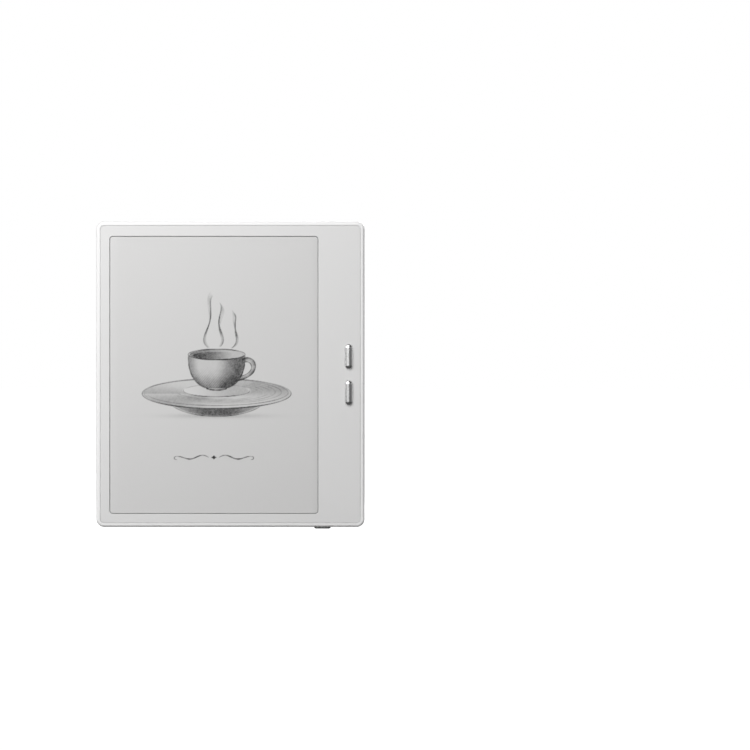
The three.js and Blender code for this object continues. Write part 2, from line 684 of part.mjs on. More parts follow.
function mainBoard() {
  const usbHalf = USB.width / 2 + BOARD_NOTCH.usbSide;
  const usbNotch = block(
    RIGHT - USB.depth - USB.inset - BOARD_NOTCH.usb, RIGHT, FRONT, BACK,
    USB.z - usbHalf, USB.z + usbHalf,
  );
  const bootLow = MICROPHONE.z - BOARD_NOTCH.bootSide;
  const bootHigh = MICROPHONE.z + BOARD_NOTCH.bootSide;
  const bootNotch = block(BOARD_NOTCH.bootLeft, RIGHT, FRONT, BACK, bootLow, bootHigh);
  const holes = BOARD_SCREWS.map(([x, z]) => circle(x, z, SCREW.shank + SCREW.clearance, 10));
  const sheet = prism('y', ring(MAIN_BOARD), ...MAIN_BOARD_Y, holes);
  const clearances = PLATE_SCREWS.map(([x, z]) => (
    prism('y', circle(x, z, BOSS.radius + BOSS.clearance), FRONT, BACK)
  ));
  return cut(sheet, usbNotch, bootNotch, ...clearances);
}

function shieldCan() {
  const { left, right, bottom, top, back, sheet } = SHIELD;
  const outer = block(left, right, CHIP_FRONT, back, bottom, top);
  const inner = block(left + sheet, right - sheet, FRONT, back - sheet, bottom + sheet, top - sheet);
  return cut(outer, inner);
}

function chip({ left, right, back, bottom, top }) {
  return block(left, right, CHIP_FRONT, back, bottom, top);
}

function makeBoard() {
  add('main_board', mainBoard(), MATERIAL.board);
  add('shield_can', shieldCan(), MATERIAL.steel);
  add('processor', chip(PROCESSOR), MATERIAL.chip);
  add('memory_chip', chip(MEMORY), MATERIAL.chip);
  add('display_connector', chip({ ...DISPLAY_CONNECTOR, bottom: FLEX.top + HIDDEN }), MATERIAL.plastic);
  add('microphone', microphone(), MATERIAL.steel);
  add('microphone_boot', microphoneBoot(), MATERIAL.rubber);
}

function microphone() {
  const { left, right, front, half, z } = MICROPHONE;
  return block(left, right, front, MAIN_BOARD_Y[0] - HIDDEN, z - half, z + half);
}

function microphoneBoot() {
  const { left, front, back, half, holeLeft } = BOOT;
  const { z } = MICROPHONE;
  const right = RIGHT - WALL - HIDDEN;
  const sleeve = block(left, right, PORT_Y - front, PORT_Y + back, z - half, z + half);
  return cut(sleeve, prism('x', circle(PORT_Y, z, DOT.radius, 10), holeLeft, RIGHT));
}

// ---------------------------------------------------------------- battery

const CELL_BOARD = { left: -24, right: 10, front: 0.6, back: 1.7, bottom: BATTERY.top + 0.2, top: 121.4 };
const BATTERY_PLUG = { left: 15.7, right: 18.4, front: 1.25, back: 2.25, bottom: 115.6, top: 119.8 };
const BATTERY_SOCKET = { left: 18.5, right: 21.5, back: 2.3, bottom: 115, top: 120.4 };

// Each lead runs from the cell's board to the plug, between these heights.
const LEAD = { radius: 0.4, steps: 10 };
const LEADS = {
  positive: { from: 120.4, to: 118.6, colour: MATERIAL.red },
  negative: { from: 118.9, to: 116.8, colour: MATERIAL.black },
};

function brick({ left, right, front, back, bottom, top }) {
  return block(left, right, front, back, bottom, top);
}

function makeBattery() {
  add('battery', prism('y', ring(BATTERY), ...BATTERY_Y), MATERIAL.pouch);
  add('battery_board', brick(CELL_BOARD), MATERIAL.board);
  Object.entries(LEADS).forEach(([name, { from, to, colour }]) => {
    const start = CELL_BOARD.right + 0.1;
    const end = BATTERY_PLUG.left - 0.1;
    const route = [[start, 1.15, from], [start + 1.5, 1.2, from], [end - 2.2, 1.7, to], [end, 1.75, to]];
    add(`battery_lead_${name}`, wire(route, LEAD.radius, LEAD.steps), colour);
  });
  add('battery_plug', brick(BATTERY_PLUG), MATERIAL.plastic);
  add('battery_socket', chip(BATTERY_SOCKET), MATERIAL.film);
}

// ---------------------------------------------------------------- sound and radio

const CONE = { width: 8.6, length: 14.6, front: 0.15, back: 0.8, wellMargin: 0.4, wellDepth: 0.9 };
const SOUND_PORT = { depth: 1.6, halfThickness: 0.9, margin: 1 };
const SPEAKER_MESH = { halfThickness: 1, margin: 1.2 };
const SPEAKER_FLEX = { y: 1.5, left: 57, right: 61 };
const ANTENNA = { left: -42, right: -6, front: 0.9, back: 1.15, bottom: 151.4, top: 154 };
const ANTENNA_LEAD = {
  radius: 0.35, steps: 16,
  route: [[-5.85, 1.05, 152], [-4, 1.25, 150.7], [3, 1.3, 150.2], [9, 1, 150.4], [13.9, 0.65, 151]],
};

const SPEAKER_X = (SPEAKER.left + SPEAKER.right) / 2;
const SPEAKER_Z = (SPEAKER.bottom + SPEAKER.top) / 2;
const GRILLE_TOP = GRILLE.first + GRILLE.pitch * (GRILLE.count - 1);

function speakerBox() {
  const { left, right, bottom, top, front, back } = SPEAKER;
  const opening = pill(SPEAKER_X, SPEAKER_Z, CONE.width + CONE.wellMargin, CONE.length + CONE.wellMargin);
  const well = prism('y', ring(opening), front - 1, front + CONE.wellDepth);
  const { depth, halfThickness, margin } = SOUND_PORT;
  const port = block(
    right - depth, right + 1, PORT_Y - halfThickness, PORT_Y + halfThickness,
    GRILLE.first - margin, GRILLE_TOP + margin,
  );
  return cut(block(left, right, front, back, bottom, top), well, port);
}

function speakerMesh() {
  const { halfThickness, margin } = SPEAKER_MESH;
  return block(
    SPEAKER.right + HIDDEN, RIGHT - WALL - HIDDEN, PORT_Y - halfThickness, PORT_Y + halfThickness,
    GRILLE.first - margin, GRILLE_TOP + margin,
  );
}

function makeSound() {
  add('speaker_box', speakerBox(), MATERIAL.plastic);
  const outline = ring(pill(SPEAKER_X, SPEAKER_Z, CONE.width, CONE.length));
  const cone = prism('y', outline, SPEAKER.front + CONE.front, SPEAKER.front + CONE.back);
  add('speaker_cone', cone, MATERIAL.rubber);
  add('speaker_mesh', speakerMesh(), MATERIAL.foam);
  const { y, left, right } = SPEAKER_FLEX;
  const link = [[y, SPEAKER.top + HIDDEN], [y, KEY_BOARD.bottom - HIDDEN]];
  add('speaker_flex', ribbon(link, FLEX.thickness, left, right), MATERIAL.flex);
}

function makeRadio() {
  add('antenna', brick(ANTENNA), MATERIAL.flex);
  const { route, radius, steps } = ANTENNA_LEAD;
  add('antenna_lead', wire(route, radius, steps), MATERIAL.black);
}

// ---------------------------------------------------------------- screws

// A screw along +Y with a flat head and a hexagonal recess, its head's back face at 0.
function screwGeometry() {
  const { shank, head, headHeight, length, point, recess, slot } = SCREW;
  const profile = [
    [0, recess - headHeight],
    [slot, recess - headHeight],
    [slot, -headHeight],
    [head, -headHeight],
    [head, 0],
    [shank, 0],
    [shank, length - point],
    [0, length],
  ].map(([radius, y]) => new THREE.Vector2(radius, y));
  return new THREE.LatheGeometry(profile, 12);
}

function makeScrews() {
  const screw = screwGeometry();
  PLATE_SCREWS.forEach(([x, z], i) => {
    add(`plate_screw_${i + 1}`, screw, MATERIAL.steel, [x, LAYER.plate[0] - HIDDEN, z]);
  });
  BOARD_SCREWS.forEach(([x, z], i) => {
    add(`board_screw_${i + 1}`, screw, MATERIAL.steel, [x, MAIN_BOARD_Y[0] - HIDDEN, z]);
  });
}

// ---------------------------------------------------------------- the reader

makeCase();
makeDisplay();
makePageKeys();
makePowerKey();
makeUsbPort();
makeCardTray();
makeBoard();
makeBattery();
makeSound();
makeRadio();
makeScrews();

export default reader;
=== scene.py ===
"""A white seven-inch e-paper reader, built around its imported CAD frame.

Shapes are worked out in millimetres, in the frame's own axes, and scaled to metres when a piece
is finished: +X to the right, +Z up, and the screen faces -Y.
"""

import json
import math

import bmesh
import bpy
import numpy as np
from mathutils import Matrix, Vector


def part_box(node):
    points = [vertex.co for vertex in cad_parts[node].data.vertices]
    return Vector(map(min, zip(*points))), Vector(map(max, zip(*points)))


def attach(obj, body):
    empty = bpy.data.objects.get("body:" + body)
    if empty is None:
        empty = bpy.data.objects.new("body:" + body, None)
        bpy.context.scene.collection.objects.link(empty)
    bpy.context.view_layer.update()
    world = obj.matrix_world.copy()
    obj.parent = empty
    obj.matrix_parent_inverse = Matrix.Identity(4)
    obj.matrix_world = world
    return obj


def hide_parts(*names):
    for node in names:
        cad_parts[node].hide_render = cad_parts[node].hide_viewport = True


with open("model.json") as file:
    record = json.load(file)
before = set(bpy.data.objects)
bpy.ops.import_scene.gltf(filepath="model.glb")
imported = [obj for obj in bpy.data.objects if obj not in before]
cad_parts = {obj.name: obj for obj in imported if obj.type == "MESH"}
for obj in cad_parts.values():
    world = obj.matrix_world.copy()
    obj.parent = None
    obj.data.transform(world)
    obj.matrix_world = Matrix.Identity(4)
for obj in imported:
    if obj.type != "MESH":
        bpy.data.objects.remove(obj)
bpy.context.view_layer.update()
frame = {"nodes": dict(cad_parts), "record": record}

MM = 0.001
NODES = frame["nodes"]
LEAST_RADIUS, NEARLY_ROUND = 0.02, 0.9995


# ---------------------------------------------------------------- sizes, from the frame


class Rect:
    """An upright rectangle with round corners: across and up are two of the frame's axes."""

    def __init__(self, left, right, bottom, top, radius):
        self.left, self.right, self.bottom, self.top = left, right, bottom, top
        self.radius = max(radius, LEAST_RADIUS)

    def inset(self, by):
        return Rect(self.left + by, self.right - by, self.bottom + by, self.top - by, self.radius - by)

    @property
    def middle(self):
        return (self.left + self.right) / 2, (self.bottom + self.top) / 2


def pill(across, up, width, height):
    """A rectangle whose short ends are half circles, or just short of it, so no two points meet."""
    half_w, half_h = width / 2, height / 2
    radius = min(half_w, half_h) * NEARLY_ROUND
    return Rect(across - half_w, across + half_w, up - half_h, up + half_h, radius)


class Box:
    """A CAD node's box at rest, in millimetres."""

    def __init__(self, node):
        low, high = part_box(node)
        self.left, self.front, self.bottom = (c / MM for c in low)
        self.right, self.back, self.top = (c / MM for c in high)

    def face(self, radius):
        """The node's outline as seen from the front."""
        return Rect(self.left, self.right, self.bottom, self.top, radius)


BODY = Box("back_shell")
BEZEL = Box("front_bezel")
COVER = Box("display_cover")
MAIN_PANEL = Box("back_panel")
GRIP_PANEL = Box("grip_panel")
TRAY = Box("card_tray")
USB = Box("usb_shell")
TONGUE = Box("usb_tongue")
POWER = Box("power_key")
PAGE_KEYS = {"page_up": Box("page_up_key"), "page_down": Box("page_down_key")}

GAP = 0.1                               # between the case's pieces, and around its keys and tray
OUTLINE = BODY.face(4.0)
FRONT, BACK = BODY.front, MAIN_PANEL.back
EDGE_FRONT, RIM_ROUND = 1.2, 1.0        # radii of the shell's front and back edges
EDGE_BACK = 1.4                         # where the back starts to rise, in from the outline
CROWN_DEPTH, CROWN_WIDTH = 0.6, 9.0     # how the back falls away towards its edges
SHOULDER = BACK - CROWN_DEPTH
BEZEL_BACK = FRONT + 1.1
RIM = BEZEL.left - BODY.left - GAP      # the shell's rim around the bezel
WALL = 2.6
CAVITY_BACK = BACK - 1.3
PANEL_INSET = MAIN_PANEL.left - BODY.left
POCKET = 0.45                           # depth of the pockets that the grained panels lie in
GROOVE_X = (MAIN_PANEL.right + GRIP_PANEL.left) / 2
GROOVE_HALF = (GRIP_PANEL.left - MAIN_PANEL.right) / 2
GROOVE_CORNER = 1.5
COVER_CORNER = 1.4
WINDOW = COVER.face(COVER_CORNER).inset(-0.3)

POST_RADIUS, SCREW_RADIUS, SCREW_DEPTH = 1.3, 0.75, 1.95
SCREW_SEAT = 0.05                       # from what a screw holds back to its post
SEATS = {"board": Box("main_board").back + SCREW_SEAT, "plate": Box("support_plate").back + SCREW_SEAT}

TAB_LENGTH, TAB_THICKNESS, TAB_DEPTH, TAB_INSET = 6.0, 0.7, 1.15, 0.5
TABS = {"left": (33, 78, 123), "right": (43, 119), "top": (-27, 23), "bottom": (-22, 34)}

KEY_WIDTH, KEY_LENGTH, KEY_FLANGE, KEY_DOME = 3.9, 12.9, 0.7, 1.2
POWER_X, POWER_Y = (POWER.left + POWER.right) / 2, (POWER.front + POWER.back) / 2
POWER_WIDTH, POWER_DEPTH, POWER_FLANGE, POWER_DOME = 8.4, 2.4, 0.45, 0.7
FLANGE_SEAT = 0.05                      # from a key's flange to the wall that holds it in

PORT_Y, PORT_GAP = (USB.front + USB.back) / 2, 0.2
USB_OUTLINE = pill(PORT_Y, (USB.bottom + USB.top) / 2, USB.back - USB.front, USB.top - USB.bottom)
DOT_RADIUS, DOT_PITCH, DOT_COUNT, DOT_OPEN, DOT_DEPTH = 0.5, 2.04, 8, 5, 0.25
DOT_FIRST = BODY.top - 17.3
GRILLE_RADIUS, GRILLE_PITCH, GRILLE_COUNT = 0.6, 2.0, 8
GRILLE_FIRST = BODY.bottom + 9.0
CONTACTS, CONTACT_PITCH = 12, 0.5
TRAY_FACE = Rect(TRAY.front, TRAY.back, TRAY.bottom, TRAY.top, 0.8)


# ---------------------------------------------------------------- outlines and solids


def ring(rect, steps):
    """Points of a round-cornered rectangle, counter-clockwise from the lower right corner."""
    k = rect.radius
    corners = [
        (rect.right - k, rect.bottom + k), (rect.right - k, rect.top - k),
        (rect.left + k, rect.top - k), (rect.left + k, rect.bottom + k),
    ]
    points = []
    for turn, (across, up) in enumerate(corners):
        for i in range(steps + 1):
            angle = (turn - 1 + i / steps) * math.pi / 2
            points.append((across + k * math.cos(angle), up + k * math.sin(angle)))
    return points


def circle(across, up, radius, sides):
    turns = [2 * math.pi * i / sides for i in range(sides)]
    return [(across + radius * math.cos(a), up + radius * math.sin(a)) for a in turns]


PLACES = {
    "x": lambda across, up, depth: (depth, across, up),
    "y": lambda across, up, depth: (across, depth, up),
    "z": lambda across, up, depth: (across, up, depth),
}


def loft(axis, sections, closed=False):
    """A closed skin through (outline, depth) sections along one axis. A closed loft is a tube
    whose last section meets its first; otherwise both ends are capped."""
    place = PLACES[axis]
    verts = [place(a, u, depth) for outline, depth in sections for a, u in outline]
    count = len(sections[0][0])
    faces = []
    for i in range(len(sections) if closed else len(sections) - 1):
        here, there = i * count, ((i + 1) % len(sections)) * count
        for j in range(count):
            k = (j + 1) % count
            faces.append((here + j, here + k, there + k, there + j))
    if not closed:
        faces.append(tuple(range(count)))
        faces.append(tuple(range((len(sections) - 1) * count, len(sections) * count)))
    return solid(verts, faces)


def loft_rects(axis, rows, steps, closed=False):
    """A loft through (rectangle, depth) rows, with this many steps round each corner."""
    return loft(axis, [(ring(rect, steps), depth) for rect, depth in rows], closed)


def solid(verts, faces):
    """An object from points and faces, with every face turned outwards."""
    mesh = bpy.data.meshes.new("solid")
    mesh.from_pydata([tuple(v) for v in verts], [], faces)
    work = bmesh.new()
    work.from_mesh(mesh)
    bmesh.ops.recalc_face_normals(work, faces=work.faces)
    work.to_mesh(mesh)
    work.free()
    obj = bpy.data.objects.new("solid", mesh)
    bpy.context.scene.collection.objects.link(obj)
    return obj


def block(left, right, front, back, bottom, top):
    outline = [(left, bottom), (right, bottom), (right, top), (left, top)]
    return loft("y", [(outline, front), (outline, back)])


def drum(axis, across, up, radius, low, high):
    outline = circle(across, up, radius, 32)
    return loft(axis, [(outline, low), (outline, high)])


def combine(base, cuts, joins=()):
    """Base with solids joined on and then cut away, in one mesh."""
    tools = [("UNION", tool) for tool in joins] + [("DIFFERENCE", tool) for tool in cuts]
    for operation, tool in tools:
        step = base.modifiers.new("step", "BOOLEAN")
        step.operation = operation
        step.solver = "MANIFOLD"
        step.object = tool
    depsgraph = bpy.context.evaluated_depsgraph_get()
    made = bpy.data.meshes.new_from_object(base.evaluated_get(depsgraph), depsgraph=depsgraph)
    base.modifiers.clear()
    base.data = made
    for _, tool in tools:
        bpy.data.objects.remove(tool)
    return base


def quarter(steps, radius, rising=True):
    """(out, along) pairs of a quarter round, from (radius, 0) to (0, radius). One that isn't rising
    goes from (0, 0) to (radius, radius)."""
    angles = [math.pi / 2 * i / steps for i in range(steps + 1)]
    if rising:
        return [(radius * (1 - math.sin(a)), radius * (1 - math.cos(a))) for a in angles]
    return [(radius * (1 - math.cos(a)), radius * math.sin(a)) for a in angles]


def rolled(rect, tip, roll, steps=5):
    """The last rows of a solid that ends at tip, with its edge there rounded over."""
    return [(rect.inset(roll - out), tip - along)
            for out, along in reversed(quarter(steps, roll, rising=False))]


def mouth(axis, outline_at, surface, depth, radius, outwards):
    """A cutting tool whose opening is rounded: outline_at(grow) gives the outline, surface is
    where the face lies on the axis, and outwards is +1 or -1."""
    clear = 2
    sections = [(outline_at(0), surface - outwards * depth)]
    for flare, rise in quarter(5, radius, rising=False):
        sections.append((outline_at(flare), surface - outwards * (radius - rise)))
    sections.append((outline_at(radius), surface + outwards * clear))
    return loft(axis, sections)


def finish_piece(obj, name, body, slot, replaces=(), look=None, smooth_angle=32, weighted=True):
    """Scales a piece to metres and gives it its name, body, shading and finish, which is its
    slot's unless another look is named."""
    obj.name = obj.data.name = name
    obj.data.transform(Matrix.Scale(MM, 4))
    obj.data.materials.clear()
    obj.data.materials.append(LOOKS[look or slot])
    for face in obj.data.polygons:
        face.use_smooth = True
        face.material_index = 0
    obj.data.set_sharp_from_angle(angle=math.radians(smooth_angle))
    if weighted:
        normals = obj.modifiers.new("weighted_normals", "WEIGHTED_NORMAL")
        normals.keep_sharp = True
        normals.weight = 100
    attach(obj, body)
    if replaces:
        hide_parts(*replaces)


# ---------------------------------------------------------------- smooth noise


def noise(x, z, size, seed):
    """Smooth noise from -1 to 1 with features about size across."""
    table = np.random.default_rng(seed).uniform(-1, 1, (256, 256))
    gx, gz = x / size, z / size
    ix, iz = np.floor(gx).astype(int), np.floor(gz).astype(int)
    fx, fz = gx - ix, gz - iz
    fx, fz = fx * fx * (3 - 2 * fx), fz * fz * (3 - 2 * fz)

    def row(jz):
        return table[ix % 256, jz % 256] * (1 - fx) + table[(ix + 1) % 256, jz % 256] * fx

    return row(iz) * (1 - fz) + row(iz + 1) * fz


def grain(x, z):
    """The height of soft leather-like grain, from about -1 to 1: rounded pads between creases."""
    bend_x = x + 0.5 * noise(x, z, 1.9, 11)
    bend_z = z + 0.5 * noise(x, z, 1.9, 12)
    pads = 1 - 2 * np.abs(noise(bend_x, bend_z, 1.25, 13))
    fine = 1 - 2 * np.abs(noise(bend_x, bend_z, 0.7, 14))
    broad = noise(x, z, 4.5, 15)
    return 0.5 * pads + 0.28 * fine + 0.22 * broad


# ---------------------------------------------------------------- materials


class Nodes:
    """A node tree, with short calls that make its nodes and join them."""

    def __init__(self, tree):
        self.tree = tree
        tree.nodes.clear()

    def join(self, value, socket):
        if isinstance(value, bpy.types.NodeSocket):
            self.tree.links.new(value, socket)
        else:
            socket.default_value = value

    def add(self, kind, inputs=None, **settings):
        node = self.tree.nodes.new(kind)
        for key, value in settings.items():
            setattr(node, key, value)
        for key, value in (inputs or {}).items():
            self.join(value, node.inputs[key])
        return node

    def math(self, operation, *values):
        return self.add("ShaderNodeMath", dict(enumerate(values)), operation=operation).outputs[0]

    def choose(self, factor, first, second):
        """The first shader where factor is 0 and the second where it is 1."""
        return self.add("ShaderNodeMixShader", {0: factor, 1: first, 2: second}).outputs[0]


class Shade(Nodes):
    """One material's nodes. Every texture reads object coordinates, which are the frame's own,
    so that noise of scale 1000 has features about a millimetre across."""

    def __init__(self, name, base, roughness, metallic=0.0, sockets=None):
        self.material = bpy.data.materials.new(name)
        self.material.use_nodes = True
        super().__init__(self.material.node_tree)
        inputs = {"Base Color": (*base, 1), "Roughness": roughness, "Metallic": metallic}
        self.bsdf = self.add("ShaderNodeBsdfPrincipled", {**inputs, **(sockets or {})})
        self.add("ShaderNodeOutputMaterial", {"Surface": self.bsdf.outputs[0]})
        self.where = self.add("ShaderNodeTexCoord").outputs["Object"]

    def stretch(self, scale):
        """Object coordinates scaled by axis, for brushed or woven patterns."""
        return self.add("ShaderNodeMapping", {"Vector": self.where, "Scale": scale}).outputs[0]

    def noise(self, scale, detail=3.0, roughness=0.55, distortion=0.0, where=None):
        inputs = {
            "Vector": where or self.where, "Scale": scale, "Detail": detail,
            "Roughness": roughness, "Distortion": distortion,
        }
        return self.add("ShaderNodeTexNoise", inputs).outputs["Fac"]

    def cells(self, scale, feature="F1", smoothness=None):
        inputs = {"Vector": self.where, "Scale": scale}
        if smoothness is not None:
            inputs["Smoothness"] = smoothness
        return self.add("ShaderNodeTexVoronoi", inputs, feature=feature).outputs["Distance"]

    def wave(self, scale, direction="X", distortion=0.0):
        inputs = {"Vector": self.where, "Scale": scale, "Distortion": distortion}
        return self.add("ShaderNodeTexWave", inputs, bands_direction=direction).outputs["Fac"]

    def span(self, value, low, high, start=0.0, stop=1.0):
        """Value carried from start..stop to low..high."""
        inputs = {"Value": value, "From Min": start, "From Max": stop, "To Min": low, "To Max": high}
        return self.add("ShaderNodeMapRange", inputs).outputs["Result"]

    def blend(self, factor, first, second):
        first, second = ((*c, 1) if isinstance(c, tuple) else c for c in (first, second))
        return self.add("ShaderNodeMix", {0: factor, 6: first, 7: second}, data_type="RGBA").outputs[2]

    def paint(self, colour):
        self.join(colour, self.bsdf.inputs["Base Color"])

    def rough(self, value):
        self.join(value, self.bsdf.inputs["Roughness"])

    def bump(self, height, depth, strength):
        """Height from 0 to 1, over a depth in metres, on top of any bump so far."""
        inputs = {"Height": height, "Distance": depth, "Strength": strength}
        before = self.bsdf.inputs["Normal"]
        if before.is_linked:
            inputs["Normal"] = before.links[0].from_socket
        self.join(self.add("ShaderNodeBump", inputs).outputs[0], before)

    def follow(self, field, colour, tones, gloss, depth, strength):
        """Colour, roughness and height that all follow one pattern. The first tone goes to the pattern's low
        spots and the second to its tops, so a darker first tone is painted shade in the hollows.
        """
        self.paint(self.blend(field, tint(colour, tones[0]), tint(colour, tones[1])))
        self.rough(self.span(field, *gloss))
        self.bump(field, depth, strength)
        return self.material


def tint(colour, by):
    return tuple(min(c * by, 1.0) for c in colour)


def grey(level, warmth=0.0):
    """A nearly neutral colour; warmth above 0 leans it towards cream."""
    return (level * (1 + warmth), level, level * (1 - warmth))


def moulded(name, colour, roughness, spread, texture=0.00001, scale=2600):
    """Moulded plastic: faint flow marks, a fine spark-eroded texture and uneven gloss."""
    m = Shade(name, colour, roughness)
    flow = m.math("MULTIPLY", m.noise(26, 2.5, 0.5, 0.6), 0.6)
    m.paint(m.blend(flow, tint(colour, 1 - spread), tint(colour, 1 + spread / 2)))
    m.rough(m.span(m.noise(340, 3.0), roughness - 0.05, roughness + 0.06, 0.3, 0.7))
    m.bump(m.noise(scale, 2.0), texture, 0.6)
    return m.material


def leather():
    """The grained back panels: creases between soft pads, with painted shade darkening the creases, and the
    finest grain as bump.
    """
    base = grey(ALBEDO["grained_panel"], 0.004)
    m = Shade("grained_back", base, 0.62)
    warp = m.noise(700, 2.0)
    creases = m.cells(820, "SMOOTH_F1", 0.35)
    pads = m.cells(1500)
    pores = m.noise(5200, 2.0, 0.6)
    # painted shade: the colour darkens towards the creases, where the pads meet
    shade = m.span(creases, 0.0, 1.0, 0.1, 0.75)
    m.paint(m.blend(shade, tint(base, 1.03), tint(base, 0.965)))
    m.rough(m.span(warp, 0.52, 0.7, 0.3, 0.7))
    m.bump(m.math("SUBTRACT", 1.0, creases), 0.0002, GRAIN_BUMP)
    m.bump(m.math("SUBTRACT", 1.0, pads), 0.0001, GRAIN_BUMP)
    m.bump(pores, 0.00002, GRAIN_BUMP)
    return m.material


def paper_screen():
    """Etched cover over e-paper: the ink level is on the mesh, under a fine matt sparkle."""
    paper = grey(ALBEDO["screen"], 0.006)
    m = Shade("paper_screen", paper, 0.42)
    ink = m.add("ShaderNodeAttribute", attribute_name="ink").outputs["Fac"]
    capsules = m.noise(7000, 2.0, 0.7)
    mottle = m.noise(900, 3.0)
    ground = m.blend(m.span(capsules, 0.0, 1.0, 0.3, 0.7), tint(paper, 0.975), tint(paper, 1.02))
    ground = m.blend(m.math("MULTIPLY", mottle, 0.2), ground, tint(paper, 0.96))
    m.paint(m.blend(ink, ground, (0.012, 0.012, 0.013)))
    m.rough(m.span(capsules, 0.38, 0.5, 0.3, 0.7))
    m.bump(m.noise(9000, 1.0), 0.000002, 0.5)
    return m.material


def metal(name, colour, roughness, brush, spread=0.08, texture=0.000004):
    """Metal with a drawn grain along its longest stretch."""
    m = Shade(name, colour, roughness, 1.0)
    lines = m.noise(900, 2.0, 0.6, where=m.stretch(brush))
    cloud = m.noise(120, 3.0)
    m.paint(m.blend(cloud, tint(colour, 1 - spread), tint(colour, 1 + spread / 2)))
    m.rough(m.span(lines, roughness * 0.8, roughness * 1.3, 0.3, 0.7))
    m.bump(lines, texture, 0.5)
    return m.material


def circuit_board():
    """Solder mask over copper: fine tracks show as a slightly raised, lighter pattern."""
    mask = (0.012, 0.075, 0.04)
    m = Shade("circuit_board", mask, 0.38)
    tracks = m.wave(420, "Z", 9.0)
    crossing = m.wave(300, "X", 7.0)
    copper = m.math("GREATER_THAN", m.math("MAXIMUM", tracks, crossing), 0.93)
    fine = m.noise(3000, 2.0)
    m.paint(m.blend(copper, m.blend(fine, tint(mask, 0.8), tint(mask, 1.2)), (0.03, 0.14, 0.07)))
    m.rough(m.span(fine, 0.3, 0.45))
    m.bump(copper, 0.00003, 0.7)
    return m.material


def chip():
    dark = (0.018, 0.018, 0.02)
    m = Shade("chip_resin", dark, 0.5)
    # a random mottle that is also painted darker in its low spots: partly random tone, partly painted shade
    return m.follow(m.noise(4200, 3.0, 0.65), dark, (0.7, 1.6), (0.42, 0.62), 0.00001, 0.8)


def pouch():
    """Aluminium laminate with shallow crinkles."""
    silver = (0.5, 0.51, 0.53)
    m = Shade("battery_pouch", silver, 0.34, 0.85)
    crinkle = m.noise(55, 4.0, 0.6, 1.6)
    fine = m.noise(1800, 2.0)
    # the crinkles are painted lighter where they rise and darker where they sink: partly random tone, partly
    # painted highlight and shade
    m.paint(m.blend(crinkle, tint(silver, 0.86), tint(silver, 1.08)))
    m.rough(m.span(fine, 0.28, 0.42))
    m.bump(crinkle, 0.00035, 0.5)
    m.bump(fine, 0.00001, 0.4)
    return m.material


def flex_circuit():
    """Amber polyimide over copper lanes."""
    amber = (0.42, 0.17, 0.035)
    m = Shade("flex_circuit", amber, 0.36)
    lanes = m.wave(260)
    film = m.noise(1500, 2.0)
    m.paint(m.blend(m.span(lanes, 0, 1, 0.45, 0.55), amber, (0.55, 0.27, 0.08)))
    m.rough(m.span(film, 0.28, 0.42))
    m.bump(lanes, 0.00002, 0.6)
    return m.material


def foam():
    pale = grey(0.5)
    m = Shade("foam", pale, 0.95)
    # painted shade: the pores, low in the bump, are painted darker than the raised walls between them
    return m.follow(m.cells(3200), pale, (0.5, 1.7), (0.85, 1.0), 0.00008, 0.9)


def clear_sheet():
    """Optical film and glass under the cover, seen only when the reader is opened."""
    pale = (0.78, 0.83, 0.82)
    m = Shade("clear_sheet", pale, 0.09, sockets={"Transmission Weight": 0.55, "IOR": 1.49})
    smear = m.noise(70, 3.0, 0.5, 0.8)
    m.paint(m.blend(smear, tint(pale, 0.97), pale))
    m.rough(m.span(smear, 0.05, 0.14))
    m.bump(m.cells(1300), 0.000004, 0.4)
    return m.material


def paper_panel():
    white = grey(0.6)
    m = Shade("paper_panel", white, 0.55)
    # a random tone that is also painted darker in its low spots: partly random tone, partly painted shade
    return m.follow(m.noise(7000, 2.0, 0.7), white, (0.93, 1.04), (0.48, 0.62), 0.000004, 0.5)


def wire_sleeve(name, colour):
    m = Shade(name, colour, 0.42)
    # a random tone that is also painted darker in its low spots: partly random tone, partly painted shade
    return m.follow(m.noise(2400, 2.0), colour, (0.85, 1.12), (0.36, 0.5), 0.00001, 0.6)


def mesh_fabric():
    """Acoustic cloth: a plain weave of fine dark threads."""
    dark = (0.02, 0.02, 0.021)
    m = Shade("acoustic_cloth", dark, 0.8)
    threads = m.math("MULTIPLY", m.wave(1100, "Y"), m.wave(1100, "Z"))
    # painted shade: the gaps between the threads, low in the bump, are painted darker than the threads
    return m.follow(threads, dark, (0.4, 2.2), (0.7, 0.9), 0.00006, 0.9)


ALBEDO = {"shell": 0.84, "bezel": 0.7, "screen": 0.62, "grained_panel": 0.82}
GRAIN_BUMP = 1.15

